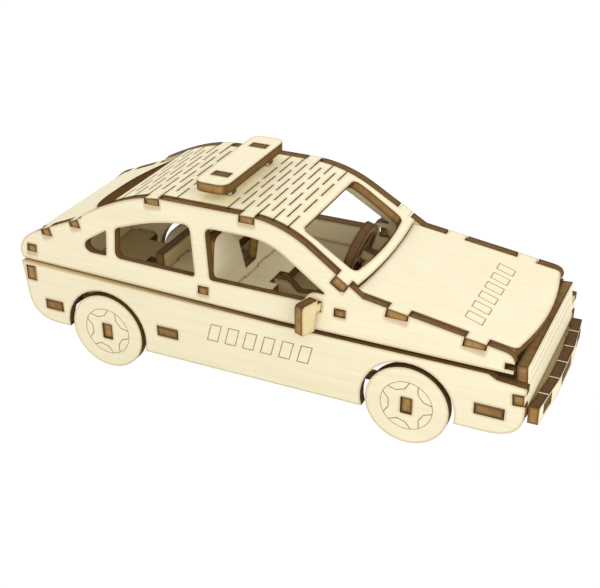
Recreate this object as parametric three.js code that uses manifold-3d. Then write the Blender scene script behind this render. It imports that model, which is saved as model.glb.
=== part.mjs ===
// Wooden puzzle car: a toy saloon cut from 3 mm plywood and put together with tabs and slots.
// Millimetres. +X points to the nose, +Y to the car's left, +Z up, and the wheels stand on z = 0.

import * as THREE from 'three';
import { mergeVertices } from 'three/addons/utils/BufferGeometryUtils.js';
import Module from 'manifold-3d';

const wasm = await Module();
wasm.setup();

// Sheet, fits and facets
const ply = 3; // thickness of the plywood
const fit = 0.3; // room left all round a tab and between neighbours
const curveSteps = 10; // straight facets in each curve of an outline
const shy = 0.02; // a tab lies this little inside the faces of its sheet
const weld = 1e-4; // corners closer than this are one corner

// Running gear
const wheelbase = 99.4;
const wheelRadius = 12.5;
const wheelFacets = 36; // facets in half the rim
const axleDepth = 4.9; // height of the axle strip, whose thickness is one ply
const hubRound = 0.4; // corners of the wheel's slot
const axleRecess = 0.4; // axle end behind the wheel's face
const runningGap = 0.5; // free room round the turning axle
const bearerWall = 4.5; // wood on each side of the axle in a bearer
const bearerFoot = 2.6; // wood below the axle
const bearerRound = 2;
const bearerY = 8; // middle of a bearer
const bearerTabLength = 3;

// Lower sides
const halfWidth = 29.5; // car's middle to the outer face of a lower side
const archGap = 1.6; // wheel to wheel arch
const archWeb = 2.6; // top of the arch to the seam
const rearOverhang = 30.1; // rear axle to the tail
const frontOverhang = 33.4; // front axle to the nose
const sideDepth = 20.5; // seam down to the sill
const rearValanceLift = 2.4; // rear valance above the sill
const frontValanceLift = 1.7; // front valance above the sill
const tailTuck = 1.4; // the tail edge slopes forward by this much
const tailDrop = 12.2; // straight height of the tail edge
const tailRun = 10.4; // round lower corner of the tail, lengthwise
const noseRise = 8.1; // round lower corner of the nose, upwards
const noseRun = 11.1; // round lower corner of the nose, lengthwise
const lampDrop = 2.1; // headlamp step below the seam at the nose
const lampRun = 8.3; // length of the headlamp step
const lampSlope = 0.7; // the step rises this much towards the rear
const lampRamp = 2.6; // ramp from the step up to the seam
const seamRise = 2; // the seam climbs this much to the tail
const seamKinkX = 10; // where the seam starts to climb

// Upper sides
const lean = THREE.MathUtils.degToRad(7.8); // inward lean
const seamInset = 0.8; // upper outer face inside the lower one at the seam
const seamGapRear = 0.6; // lower side to upper side at the tail
const seamGapFront = 0.9;
const upperTailReach = 1.1; // upper tail behind the lower tail
const upperTailTuck = 0.9;
const upperTailRise = 2.8; // seam to the widest point of the tail
const roofRise = 30.1; // seam to the roof line
const railDepth = 5.9; // roof line to the tops of the door windows
const waist = 8.6; // seam to the foot of the windows
const pillarDrop = 8.2; // windscreen line down to the front window, upright
const quarterRear = -57.2; // quarter window, rear and front
const quarterFront = -48.9;
const quarterDrop = 7; // its front top corner below the rail
const quarterSlope = 5.2; // its top falls this much to the rear
const quarterRound = 2.4;
const rearWindowRear = -45.8;
const rearWindowFront = -18.1;
const rearWindowLean = 2.2; // its front edge leans back by this much
const rearWindowDrop = 5.8; // its rear top corner below the rail
const rearWindowCrest = -32; // where its top edge turns down
const rearWindowCrestDrop = 1.2;
const frontWindowRear = -13.2;
const frontWindowLean = 2.1; // its rear edge leans back by this much
const frontWindowFoot = 17; // front end of its sill
const frontWindowSail = 3.3; // height of the sail step at its front corner
const frontWindowSailRun = 1.8;
const windowRise = 0.5; // the waist climbs this much to the rear
const windowRound = 1.2; // small corners of the windows
const windowRoundTop = 2.4;
const windowBend = 7; // long bend in the tops of the door windows
const noseRound = 3.3; // round front end of the hood line
const noseNotchLength = 2.6;
const noseNotchHeight = 1.8;
const noseNotchRise = 2; // seam to the foot of the nose notch

// Roof, a sheet bent over two fields of slits
const scuttleX = 34.8; // where the windscreen line meets the hood line
const scuttleRise = 13; // seam to that corner
const windscreenAngle = THREE.MathUtils.degToRad(33);
const roofFrontRound = 11.5; // length of each arm of the bend above the windscreen
const roofFlatRear = -30;
const roofRearBend = -40.7; // corner of the rear bend
const roofRearX = -57.4; // rear end of the roof line on the sides
const roofRearRise = 20.7; // seam to that end
const roofEdgeX = -47.8; // rear edge of the roof sheet
const scuttleGap = 3.5; // roof's front edge to the scuttle corner, along the slope
const roofBow = 1.3; // the roof's front edge and the hood's rear edge bow forward by this much
const screenBar = 2.9; // bar below the windscreen opening
const screenLength = 19.3; // opening, down the slope
const screenRail = 2.2; // wood beside the opening at its head
const screenRound = 2.5;
const slitWidth = 0.4;
const slitBridge = 2.8; // wood left between the slits of a row
const slitEdge = 3.9; // wood beside a closed row
const slitPitch = 2.43; // row to row
const slitsClosed = 3; // slits in a closed row
const slitRowsFront = 9;
const slitRowsRear = 9;
const slitLead = 6.4; // first front row behind the bend
const slitLag = 3.7; // first rear row ahead of the bend
const roofTabLength = 4.5;
const roofTabXs = [-33.1, -1.9];
const pillarTabLength = 4.3;
const pillarTabStart = 1.9; // roof's front edge to the pillar tab

// Hood and rear deck
const hoodSlope = THREE.MathUtils.degToRad(8.64);
const hoodSetback = 3.3; // hood's rear edge behind the scuttle
const hoodNoseSet = 4.3; // hood's front corners behind the nose
const hoodFrontBow = 2.4;
const hoodCorner = 2.5;
const hoodTabLength = 6;
const hoodTabsFromNose = [15.4, 37.9]; // middles of the hood tabs, from the nose
const deckFrontX = -57.7;
const deckRise = 19.5; // seam to the deck's front edge
const deckAngle = THREE.MathUtils.degToRad(23);
const deckTailReach = 5.2; // deck's rear edge ahead of the tail
const deckHollow = 5; // middle of the deck's front edge behind that line
const deckHornReach = 5; // its front corners ahead of that line
const deckFrontTurn = 3; // how late the front edge turns forward, as a power of the width
const deckFrontSteps = 8; // straight stretches on each half of it
const deckTabLength = 2.9;
const deckTabsFromEnd = 3.2; // end of the deck to the middle of a tab

// Floor
const wellGap = 0.9; // wheel well longer than the arch at each end
const rearWellDepth = 8.5; // car's side to the inner end of the rear well
const frontWellDepth = 16.5;
const floorTabRear = 6; // length of the floor's rear side tab
const floorTabMiddle = 6.7;
const floorTabFront = 8;
const floorTabFromAxle = 22.1; // rear axle to the middle of the middle side tab
const floorTabFromTail = 7.8; // tail to the rear side tab
const floorTabFromNose = 5.7; // nose to the front side tab

// Tail panel
const tailPanelSet = 1.8; // tail to the panel's rear face
const tailPanelRise = 7.5; // seam to its top
const tailPanelRound = 1;
const tailPanelSkirt = 1; // below the floor
const tailLowTab = [-6, -1.4]; // heights of its tabs from the seam
const tailHighTab = [2.2, 5.3];
const tailFloorTabY = 13;
const tailFloorTabLength = 8;

// Nose
const grilleSet = 3.4; // nose to the grille's rear face at its side tabs
const grilleLean = THREE.MathUtils.degToRad(4); // leaning back about its side tabs
const grilleTabDrop = 6.2; // seam to the middle of its side tabs
const grilleTabHeight = 3;
const bumperInset = 3.3; // each end inside the car's side
const bumperHeight = 5.4;
const bumperAboveFloor = 0.9; // bumper's top above the floor's top
const bumperBow = 1.5; // its middle ahead of its ends
const kerfSpacing = 9.2; // kerfs cut into its back, from the middle out
const kerfPairs = 2;
const kerfWidth = 0.5;
const kerfSkin = 0.8; // wood left in front of a kerf
const bumperSet = 0.2; // nose to the bumper's ends
const bumperMidTab = 11; // length of the floor's middle front tab
const bumperSideTab = 6;
const bumperSideTabSet = 7.3; // end of the bumper to the middle of its side tab

// Seats, dashboard and steering
const seatBackX = -16.7; // rear face of the front seat back
const seatBackRise = 19.8; // seam to its top
const seatBackRound = 3;
const seatTopInner = 14.5; // half the gap between the head ends
const seatTopRound = 2;
const seatNeck = 7.6; // half the gap at the neck
const seatNeckDrop = 7.2;
const seatNeckRound = 1;
const seatNotchHalf = 3.5;
const seatNotchRise = 1.1; // seam to the foot of the notch
const seatBackTab = [3.2, 5.9];
const cushionRise = 8.5; // floor to the top of the front cushion
const cushionLength = 11.4;
const cushionInset = 6.5; // end of the front cushion to the car's side
const cushionRound = 1;
const cushionRecess = 3; // recess in the middle of the front edge
const cushionRecessHalf = 4;
const rearSeatX = -37; // rear face of the rear seat back
const rearSeatInset = 2.5; // end of the rear seat to the wheel well
const rearSeatRise = 8.4; // seam to its top
const rearSeatRound = 0.6;
const rearCushionRise = 13.4; // floor to the top of the rear cushion
const riserSet = 5.5; // cushion's front edge to the riser's front face
const riserInset = 3; // riser narrower than its cushion, at each end
const footTabLength = 6;
const footTabY = 7.5;
const dashX = 26.8;
const dashRise = 11.3;
const dashRound = 1.5;
const dashTab = [6, 8.2];
const steerX = 18.3; // middle of the steering wheel
const steerY = 12;
const steerRise = 6.8;
const steerAngle = THREE.MathUtils.degToRad(16.5);
const steerRadius = 9.3;
const steerRim = 2.2;
const steerHub = 3.8;
const steerSpoke = 2.4;
const steerSpokes = 3;
const steerFacets = 18; // facets in half the rim
const columnPast = 1; // column beyond the dashboard

// Wing mirrors
const mirrorX = 22.3; // front face where it meets the side
const mirrorSweep = THREE.MathUtils.degToRad(20);
const mirrorReach = 7.1;
const mirrorHeight = 9.4;
const mirrorRise = 1.1; // seam to the mirror's foot
const mirrorRound = 1.5;
const mirrorRelief = 2.2; // lower inner corner stands off the side by this much
const mirrorStandoff = 0.9; // and the upper one
const mirrorTabHeight = 2.7;
const mirrorTabRise = 5.5; // mirror's foot to its tab

// Light bar
const barX = -16.1; // middle of the bar
const barWidth = 10.8;
const barHalfLength = 20;
const barRound = 3.5;
const barGap = 2.7; // roof to the bar
const legY = 12.3; // middle of a leg
const legLength = 7.8;
const legTopTab = 5.1;
const legFootTab = 4;

// Finishes
const paleFace = 0xefe3c2;
const innerFace = 0xd9c79c;
const turnedFace = 0xeadcb6;
const sheetRoughness = 0.72;

// Heights and stations that follow from the sizes above
const axleZ = wheelRadius;
const rearAxleX = -wheelbase / 2;
const frontAxleX = wheelbase / 2;
const archRadius = wheelRadius + archGap;
const seamZ = axleZ + archRadius + archWeb;
const sillZ = seamZ - sideDepth;
const tailX = rearAxleX - rearOverhang;
const noseX = frontAxleX + frontOverhang;
const tailSeamZ = seamZ + seamRise;
const axleSwing = Math.hypot(ply, axleDepth) / 2;
const bearerEye = axleSwing + runningGap;
const floorZ = axleZ + bearerEye;
const floorTop = floorZ + ply;
const roofZ = seamZ + roofRise;
const railZ = roofZ - railDepth;
const waistZ = seamZ + waist;
const scuttleZ = seamZ + scuttleRise;
const screenTan = Math.tan(windscreenAngle);
const screenCornerX = scuttleX - (roofZ - scuttleZ) / screenTan;
const upperTailX = tailX - upperTailReach;
const deckRearX = tailX + deckTailReach;
const tailPanelX = tailX + tailPanelSet;
const grilleX = noseX - grilleSet;
const bumperX = noseX + bumperSet;
const bumperHalf = halfWidth - bumperInset;
const bumperSideTabY = bumperHalf - bumperSideTabSet;
const bumperFrontX = bumperX + ply + bumperBow;
const bumperTop = floorTop + bumperAboveFloor;
const lowerInner = halfWidth - ply;
const rearWellHalf = halfWidth - rearWellDepth;
const frontWellHalf = halfWidth - frontWellDepth;
const cushionHalf = halfWidth - cushionInset;
const rearSeatHalf = rearWellHalf - rearSeatInset;
const centreX = (upperTailX + bumperFrontX) / 2;

const seamAt = (x) => seamZ + seamRise * Math.max(0, (seamKinkX - x) / (seamKinkX - tailX));
const upperOuter = (z) => halfWidth - seamInset - (z - seamZ) * Math.tan(lean);
const upperInner = (z) => upperOuter(z) - ply / Math.cos(lean);
const hoodZ = (x) => scuttleZ - (x - scuttleX) * Math.tan(hoodSlope);
const hoodUnder = (x) => hoodZ(x) - ply / Math.cos(hoodSlope);
const screenZ = (x) => scuttleZ + (scuttleX - x) * screenTan;
const deckZ = (x) => seamZ + deckRise + (x - deckFrontX) * Math.tan(deckAngle);
const grilleTabZ = seamZ - grilleTabDrop;
const grilleTop = hoodUnder(noseX - hoodNoseSet + hoodFrontBow) - fit;
const upperNoseX = grilleX - (grilleTop - grilleTabZ) * Math.tan(grilleLean) - fit;

const car = new THREE.Group();
car.name = 'puzzle_car';
car.position.x = -centreX;

// Solids from closed geometry and back

function toSolid(geometry) {
  const bare = geometry.clone();
  bare.deleteAttribute('normal');
  bare.deleteAttribute('uv');
  const merged = mergeVertices(bare, weld);
  const mesh = new wasm.Mesh({
    numProp: 3,
    vertProperties: new Float32Array(merged.attributes.position.array),
    triVerts: new Uint32Array(merged.index.array),
  });
  return new wasm.Manifold(mesh);
}

function toGeometry(solid) {
  const { vertProperties, triVerts } = solid.getMesh();
  const geometry = new THREE.BufferGeometry();
  geometry.setAttribute('position', new THREE.BufferAttribute(vertProperties, 3));
  geometry.setIndex(new THREE.BufferAttribute(triVerts, 1));
  geometry.computeVertexNormals();
  return geometry;
}

const extrude = (shape, depth = ply) =>
  new THREE.ExtrudeGeometry(shape, { depth, bevelEnabled: false, curveSegments: curveSteps });

// A tab: a block of wood in a frame of its own. Grown by the fit it is the slot that takes it.
class Tab {
  constructor(min, max, frame = new THREE.Matrix4()) {
    this.box = new THREE.Box3(new THREE.Vector3(...min), new THREE.Vector3(...max));
    this.frame = frame;
  }

  geometry(growth = 0) {
    const box = this.box.clone().expandByScalar(growth);
    const size = box.getSize(new THREE.Vector3());
    const middle = box.getCenter(new THREE.Vector3());
    const block = new THREE.BoxGeometry(size.x, size.y, size.z);
    return block.translate(middle.x, middle.y, middle.z).applyMatrix4(this.frame);
  }
}

const sides = [-1, 1];
const bothSides = (make) => sides.map(make);

// Tab lying across the car on one side, from the inner to the outer distance
function sideTab(side, [x0, x1], [inner, outer], [z0, z1], frame) {
  const ys = [side * inner, side * outer].sort((a, b) => a - b);
  return new Tab([x0, ys[0], z0], [x1, ys[1], z1], frame);
}

// Frames that a sheet is laid out in

const level = (z) => new THREE.Matrix4().makeTranslation(0, 0, z);

const across = (x) =>
  new THREE.Matrix4()
    .makeBasis(new THREE.Vector3(0, 1, 0), new THREE.Vector3(0, 0, 1), new THREE.Vector3(1, 0, 0))
    .setPosition(x, 0, 0);

const upright = (y, z, tilt = 0) =>
  new THREE.Matrix4().makeRotationX(Math.PI / 2 + tilt).setPosition(0, y, z);

const sloping = (x, z, angle) => new THREE.Matrix4().makeRotationY(angle).setPosition(x, 0, z);

const timber = (color) =>
  new THREE.MeshStandardMaterial({ color, roughness: sheetRoughness, metalness: 0 });

// A piece in its frame: the body with its tabs joined, then its slots and openings cut
function addPiece(name, geometry, frame, { tabs = [], slots = [], cuts = [] } = {}, color = paleFace) {
  const toFrame = frame.clone().invert();
  let body = toSolid(geometry);
  for (const tab of tabs) {
    body = body.add(toSolid(tab.geometry(-shy).applyMatrix4(toFrame)));
  }
  for (const slot of slots) {
    body = body.subtract(toSolid(slot.geometry(fit).applyMatrix4(toFrame)));
  }
  for (const cut of cuts) {
    body = body.subtract(toSolid(cut.clone().applyMatrix4(toFrame)));
  }
  const mesh = new THREE.Mesh(toGeometry(body), timber(color));
  mesh.name = name;
  mesh.applyMatrix4(frame);
  car.add(mesh);
}

// Outlines

// Closed outline through corners [x, y, radius], each corner rounded by its own radius
function rounded(corners, path = new THREE.Shape()) {
  const count = corners.length;
  corners.forEach(([x, y, radius = 0], i) => {
    const corner = new THREE.Vector2(x, y);
    const before = new THREE.Vector2(...corners[(i + count - 1) % count]);
    const after = new THREE.Vector2(...corners[(i + 1) % count]);
    const entry = before.sub(corner).setLength(radius).add(corner);
    const exit = after.sub(corner).setLength(radius).add(corner);
    if (i === 0) path.moveTo(entry.x, entry.y);
    else path.lineTo(entry.x, entry.y);
    if (radius > 0) path.quadraticCurveTo(x, y, exit.x, exit.y);
  });
  path.closePath();
  return path;
}

// Outline alike on both halves, from the corners of its +x half, foot first
function symmetric(half) {
  const mirrored = half.map(([x, y, radius = 0]) => [-x, y, radius]).reverse();
  return rounded([...half, ...mirrored]);
}

const rectangle = (x0, x1, y0, y1, radius = 0) =>
  rounded([
    [x0, y0, radius],
    [x1, y0, radius],
    [x1, y1, radius],
    [x0, y1, radius],
  ]);

// Stations of the roof line
const roofFlatFront = screenCornerX - roofFrontRound;
const screenStartX = screenCornerX + roofFrontRound * Math.cos(windscreenAngle);
const roofFrontX = scuttleX - (scuttleGap - roofBow) * Math.cos(windscreenAngle);

function traceRoof(path, toY) {
  path.lineTo(scuttleX, toY(screenZ(scuttleX)));
  path.lineTo(screenStartX, toY(screenZ(screenStartX)));
  path.quadraticCurveTo(screenCornerX, toY(roofZ), roofFlatFront, toY(roofZ));
  path.lineTo(roofFlatRear, toY(roofZ));
  path.quadraticCurveTo(roofRearBend, toY(roofZ), roofRearX, toY(seamZ + roofRearRise));
}

// Half width of the roof sheet where its top lies at height z, and what follows from it
const roofHalf = (z) => upperInner(z) - fit;
const screenFoot = -scuttleGap - screenBar;
const screenHead = screenFoot - screenLength;
const screenHalf = roofHalf(scuttleZ - screenHead * Math.sin(windscreenAngle)) - screenRail;
const slitRoom = 2 * (roofHalf(roofZ) - slitEdge);
const slitLength = (slitRoom - (slitsClosed - 1) * slitBridge) / slitsClosed;
const slitSpacing = slitLength + slitBridge;

// Frames of the bent and sloping sheets
const hoodFrame = sloping(scuttleX, scuttleZ, hoodSlope);
const deckFrame = sloping(deckFrontX, deckZ(deckFrontX), -deckAngle);
const screenFrame = sloping(scuttleX, scuttleZ, windscreenAngle);

// Tabs, each shared by the piece that carries it and the piece that takes it

const alongHood = (x) => (x - scuttleX) / Math.cos(hoodSlope);
const alongDeck = (x) => (x - deckFrontX) / Math.cos(deckAngle);
const half = (length) => [-length / 2, length / 2];
const around = (middle, length) => half(length).map((offset) => middle + offset);
const from = (base, range) => range.map((offset) => base + offset);
const sheet = (x) => [x, x + ply];

const floorSideRanges = [
  [tailX + floorTabFromTail, tailX + floorTabFromTail + floorTabRear],
  around(rearAxleX + floorTabFromAxle, floorTabMiddle),
  [noseX - floorTabFromNose - floorTabFront, noseX - floorTabFromNose],
];
const floorSideTabs = (side) =>
  floorSideRanges.map((range) =>
    sideTab(side, range, [lowerInner - ply, halfWidth], [floorZ, floorTop]));

// Back of the bumper at y: level as far as the first pair of kerfs, then straight to the ends
const bumperBack = (y) => {
  const share = (bumperHalf - Math.abs(y)) / (bumperHalf - kerfSpacing);
  return bumperX + bumperBow * Math.min(1, share);
};
const bumperTabs = [
  [0, bumperMidTab],
  [-bumperSideTabY, bumperSideTab],
  [bumperSideTabY, bumperSideTab],
].map(([y, length]) => {
  const [y0, y1] = around(y, length);
  return new Tab([noseX - 2 * ply, y0, floorZ], [bumperBack(y) + ply, y1, floorTop]);
});

const tailFloorTabs = bothSides((side) => {
  const [y0, y1] = around(side * tailFloorTabY, tailFloorTabLength);
  return new Tab([tailPanelX, y0, floorZ], [tailPanelX + 3 * ply, y1, floorTop]);
});

const tailLowTabs = (side) =>
  sideTab(side, sheet(tailPanelX), [lowerInner - ply, halfWidth], from(tailSeamZ, tailLowTab));
const tailHighTabs = (side) => {
  const zs = from(tailSeamZ, tailHighTab);
  return sideTab(side, sheet(tailPanelX), [upperInner(zs[1]) - ply, upperOuter(zs[1])], zs);
};

const seatBackTabs = (side) => {
  const zs = from(seamZ, seatBackTab);
  return sideTab(side, sheet(seatBackX), [upperInner(zs[1]) - ply, upperOuter(zs[1])], zs);
};

const dashTabs = (side) => {
  const zs = from(seamZ, dashTab);
  return sideTab(side, sheet(dashX), [upperInner(zs[1]) - ply, upperOuter(zs[1])], zs);
};

// The grille's side tabs in its leaning frame; their slots reach on to the nose
const grilleFrame = sloping(grilleX + ply / 2, grilleTabZ, -grilleLean);
const grilleTabs = (side, reach = ply / 2) => {
  const zs = around(0, grilleTabHeight);
  return sideTab(side, [-ply / 2, reach], [lowerInner - 2 * ply, halfWidth], zs, grilleFrame);
};

const hoodTabs = (side) =>
  hoodTabsFromNose.map((distance) => {
    const x = noseX - distance;
    const ys = [upperInner(hoodZ(x)) - ply, upperOuter(hoodZ(x))];
    return sideTab(side, around(alongHood(x), hoodTabLength), ys, [-ply, 0], hoodFrame);
  });

const deckTabs = (side) =>
  [deckRearX + deckTabsFromEnd, deckFrontX - deckTabsFromEnd].map((x) => {
    const ys = [upperInner(deckZ(x)) - ply, upperOuter(deckZ(x))];
    return sideTab(side, around(alongDeck(x), deckTabLength), ys, [-ply, 0], deckFrame);
  });

// Frame standing on the roof line at x, with its own x axis along the line
function roofFrame(x) {
  if (x > roofFlatRear) return sloping(x, roofZ, 0);
  const points = roofLine.filter((point) => point.x <= roofFlatRear);
  const next = points.findIndex((point) => point.x > x);
  const [a, b] = [points[next - 1], points[next]];
  const share = (x - a.x) / (b.x - a.x);
  return sloping(x, a.y + share * (b.y - a.y), -Math.atan2(b.y - a.y, b.x - a.x));
}

// The roof line in x and z, and the stretch of it that the sheet covers, from its rear edge
const roofPath = new THREE.Path();
roofPath.moveTo(roofFrontX, screenZ(roofFrontX));
roofPath.lineTo(screenStartX, screenZ(screenStartX));
roofPath.quadraticCurveTo(screenCornerX, roofZ, roofFlatFront, roofZ);
roofPath.lineTo(roofFlatRear, roofZ);
roofPath.quadraticCurveTo(roofRearBend, roofZ, roofRearX, seamZ + roofRearRise);
const sideLine = roofPath.getPoints(curveSteps).reverse();
const edgeNext = sideLine.findIndex((point) => point.x > roofEdgeX);
const [edgeBefore, edgeAfter] = [sideLine[edgeNext - 1], sideLine[edgeNext]];
const edgeShare = (roofEdgeX - edgeBefore.x) / (edgeAfter.x - edgeBefore.x);
const roofLine = [edgeBefore.clone().lerp(edgeAfter, edgeShare), ...sideLine.slice(edgeNext)];

const roofTabs = (side) =>
  roofTabXs.map((x) => {
    const ys = [upperInner(roofZ) - ply, upperOuter(roofZ)];
    return sideTab(side, half(roofTabLength), ys, [-ply, 0], roofFrame(x));
  });

const pillarTab = (side) => {
  const end = -scuttleGap - pillarTabStart;
  const z = scuttleZ - end * Math.sin(windscreenAngle);
  const ys = [upperInner(z) - ply, upperOuter(z)];
  return sideTab(side, [end - pillarTabLength, end], ys, [-ply, 0], screenFrame);
};

const legTabs = (side) => {
  const y = around(side * legY, ply);
  const barZ = roofZ + barGap;
  const [top, foot] = [around(barX, legTopTab), around(barX, legFootTab)];
  return {
    top: new Tab([top[0], y[0], barZ - fit - ply / 2], [top[1], y[1], barZ + ply]),
    foot: new Tab([foot[0], y[0], roofZ - ply], [foot[1], y[1], roofZ + fit + ply / 2]),
  };
};

// Wing mirror: its frame stands on the side's outer face, y outwards and swept to the rear
const mirrorFoot = seamZ + mirrorRise;
const mirrorFrame = (side) => {
  const out = new THREE.Vector3(-Math.sin(mirrorSweep), side * Math.cos(mirrorSweep), 0);
  const up = new THREE.Vector3(0, 0, 1);
  const front = out.clone().cross(up);
  return new THREE.Matrix4()
    .makeBasis(out, up, front)
    .setPosition(mirrorX, side * upperOuter(mirrorFoot + mirrorHeight / 2), mirrorFoot);
};
const mirrorThickness = (side) => (side > 0 ? [-ply, 0] : [0, ply]);
const mirrorTab = (side) => {
  const [back, front] = mirrorThickness(side);
  const top = mirrorTabRise + mirrorTabHeight;
  return new Tab([-ply, mirrorTabRise, back], [mirrorRelief + ply / 2, top, front], mirrorFrame(side));
};

// Foot tabs that hold an upright sheet in the floor
const footTabs = (x) =>
  bothSides((side) => {
    const [y0, y1] = around(side * footTabY, footTabLength);
    return new Tab([x, y0, floorZ], [x + ply, y1, floorTop + ply]);
  });

// A seat: back and riser tabbed into the floor, the cushion tabbed into the back and lying on the riser
function seatJoints(backX, rise) {
  const cushionTop = floorTop + rise;
  const riserX = backX + ply + cushionLength - riserSet - ply;
  const cushionTabs = bothSides((side) => {
    const [y0, y1] = around(side * footTabY, footTabLength);
    return new Tab([backX, y0, cushionTop - ply], [backX + 3 * ply, y1, cushionTop]);
  });
  return { backX, cushionTop, riserX, cushionTabs };
}
const frontSeat = seatJoints(seatBackX, cushionRise);
const rearSeat = seatJoints(rearSeatX, rearCushionRise);

const axleXs = { front: frontAxleX, rear: rearAxleX };
const bearerTabs = (x, side) => {
  const [y0, y1] = around(side * bearerY, ply);
  return sides.map((end) => {
    const [x0, x1] = around(x + end * (bearerEye + bearerWall / 2), bearerTabLength);
    return new Tab([x0, y0, floorZ - ply], [x1, y1, floorTop]);
  });
};

// Lower sides

function archOver(shape, axleX, zBefore, zAfter) {
  const start = Math.PI - Math.asin((zBefore - axleZ) / archRadius);
  const end = Math.asin((zAfter - axleZ) / archRadius);
  shape.absarc(axleX, axleZ, archRadius, start, end, true);
}

function lowerSideShape() {
  const rearValanceZ = sillZ + rearValanceLift;
  const frontValanceZ = sillZ + frontValanceLift;
  const tuckX = tailX + tailTuck;
  const lampX = noseX - lampRun;
  const shape = new THREE.Shape();
  shape.moveTo(tailX, tailSeamZ);
  shape.lineTo(tuckX, tailSeamZ - tailDrop);
  shape.quadraticCurveTo(tuckX + tailTuck, rearValanceZ, tuckX + tailRun, rearValanceZ);
  archOver(shape, rearAxleX, rearValanceZ, sillZ);
  archOver(shape, frontAxleX, sillZ, frontValanceZ);
  shape.lineTo(noseX - noseRun, frontValanceZ);
  shape.quadraticCurveTo(noseX, frontValanceZ, noseX, frontValanceZ + noseRise);
  shape.lineTo(noseX, seamZ - lampDrop);
  shape.lineTo(lampX, seamZ - lampDrop + lampSlope);
  shape.lineTo(lampX - lampRamp, seamZ);
  shape.lineTo(seamKinkX, seamZ);
  shape.closePath();
  return shape;
}

function addLowerSide(side, name) {
  const slots = [...floorSideTabs(side), tailLowTabs(side), grilleTabs(side, grilleSet)];
  const body = extrude(lowerSideShape()).translate(0, 0, side > 0 ? 0 : -ply);
  addPiece(`lower_side_${name}`, body, upright(side * halfWidth, 0), { slots });
}

// Upper sides, laid out on the leaning outer face: x and the distance up from the seam

const upFace = (z) => (z - seamZ) / Math.cos(lean);
const onFace = (corners) => corners.map(([x, z, radius]) => [x, upFace(z), radius]);

function windows() {
  const frontEdge = (z) => scuttleX - (z + pillarDrop - scuttleZ) / screenTan;
  const rearSillZ = waistZ + windowRise;
  const sailZ = waistZ + frontWindowSail;
  const quarterTop = railZ - quarterDrop;
  const quarter = [
    [quarterFront, rearSillZ, windowRound / 2],
    [quarterFront, quarterTop, windowRound / 2],
    [quarterRear, quarterTop - quarterSlope, quarterRound],
    [quarterRear + windowRound, rearSillZ, quarterRound],
  ];
  const rearDoor = [
    [rearWindowRear, rearSillZ, windowRoundTop],
    [rearWindowFront, waistZ, windowRound],
    [rearWindowFront - rearWindowLean, railZ, windowRoundTop],
    [rearWindowCrest, railZ - rearWindowCrestDrop, windowBend],
    [rearWindowRear, railZ - rearWindowDrop, windowRound],
  ];
  const frontDoor = [
    [frontWindowRear, waistZ, windowRound],
    [frontWindowFoot, waistZ, windowRound],
    [frontWindowFoot + frontWindowSailRun, sailZ, windowRoundTop],
    [frontEdge(sailZ), sailZ, windowRound],
    [frontEdge(railZ), railZ, windowBend],
    [frontWindowRear - frontWindowLean, railZ, windowRoundTop],
  ];
  return [quarter, rearDoor, frontDoor].map((corners) => rounded(onFace(corners), new THREE.Path()));
}

function upperSideShape() {
  const shape = new THREE.Shape();
  const deckEndZ = deckZ(deckRearX);
  const frontZ = seamZ + seamGapFront;
  const notchZ = seamZ + noseNotchRise;
  const notchX = upperNoseX - noseNotchLength;
  shape.moveTo(upperTailX + upperTailTuck, upFace(tailSeamZ + seamGapRear));
  shape.lineTo(seamKinkX, upFace(frontZ));
  shape.lineTo(upperNoseX, upFace(frontZ));
  shape.lineTo(upperNoseX, upFace(notchZ));
  shape.lineTo(notchX, upFace(notchZ));
  shape.lineTo(notchX, upFace(notchZ + noseNotchHeight));
  shape.lineTo(upperNoseX, upFace(notchZ + noseNotchHeight));
  const capX = upperNoseX - noseRound;
  shape.quadraticCurveTo(upperNoseX, upFace(hoodZ(upperNoseX)), capX, upFace(hoodZ(capX)));
  traceRoof(shape, upFace);
  shape.lineTo(deckFrontX - fit, upFace(deckZ(deckFrontX - fit)));
  shape.lineTo(deckRearX, upFace(deckEndZ));
  const tailBulgeZ = tailSeamZ + upperTailRise;
  const capZ = deckZ(upperTailX);
  shape.quadraticCurveTo(upperTailX, upFace(capZ), upperTailX, upFace(tailBulgeZ));
  shape.closePath();
  shape.holes.push(...windows());
  return shape;
}

function addUpperSide(side, name) {
  const slots = [
    tailHighTabs(side),
    seatBackTabs(side),
    dashTabs(side),
    ...hoodTabs(side),
    ...deckTabs(side),
    ...roofTabs(side),
    pillarTab(side),
    mirrorTab(side),
  ];
  const body = extrude(upperSideShape()).translate(0, 0, side > 0 ? 0 : -ply);
  const frame = upright(side * (halfWidth - seamInset), seamZ, side * lean);
  addPiece(`upper_side_${name}`, body, frame, { slots });
}

// Roof: the sheet follows the roof line, its plan follows the leaning sides, and two staggered
// fields of slits let it bend

const lengthAlong = (points) => {
  const lengths = [0];
  for (let i = 1; i < points.length; i += 1) {
    lengths.push(lengths[i - 1] + points[i].distanceTo(points[i - 1]));
  }
  return lengths;
};

function roofPoint(distance) {
  const lengths = lengthAlong(roofLine);
  const next = Math.max(1, lengths.findIndex((length) => length >= distance));
  const [a, b] = [roofLine[next - 1], roofLine[next]];
  const share = (distance - lengths[next - 1]) / (lengths[next] - lengths[next - 1]);
  const point = a.clone().lerp(b, share);
  return sloping(point.x, point.y, -Math.atan2(b.y - a.y, b.x - a.x));
}

function roofDistance(x) {
  const lengths = lengthAlong(roofLine);
  return lengths[roofLine.findIndex((point) => point.x >= x)];
}

// Points moved square to the line by one sheet, towards the inside
function underside(points) {
  return points.map((point, i) => {
    const before = points[Math.max(0, i - 1)];
    const after = points[Math.min(points.length - 1, i + 1)];
    const normal = after.clone().sub(before).normalize();
    return new THREE.Vector2(point.x + normal.y * ply, point.y - normal.x * ply);
  });
}

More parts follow.
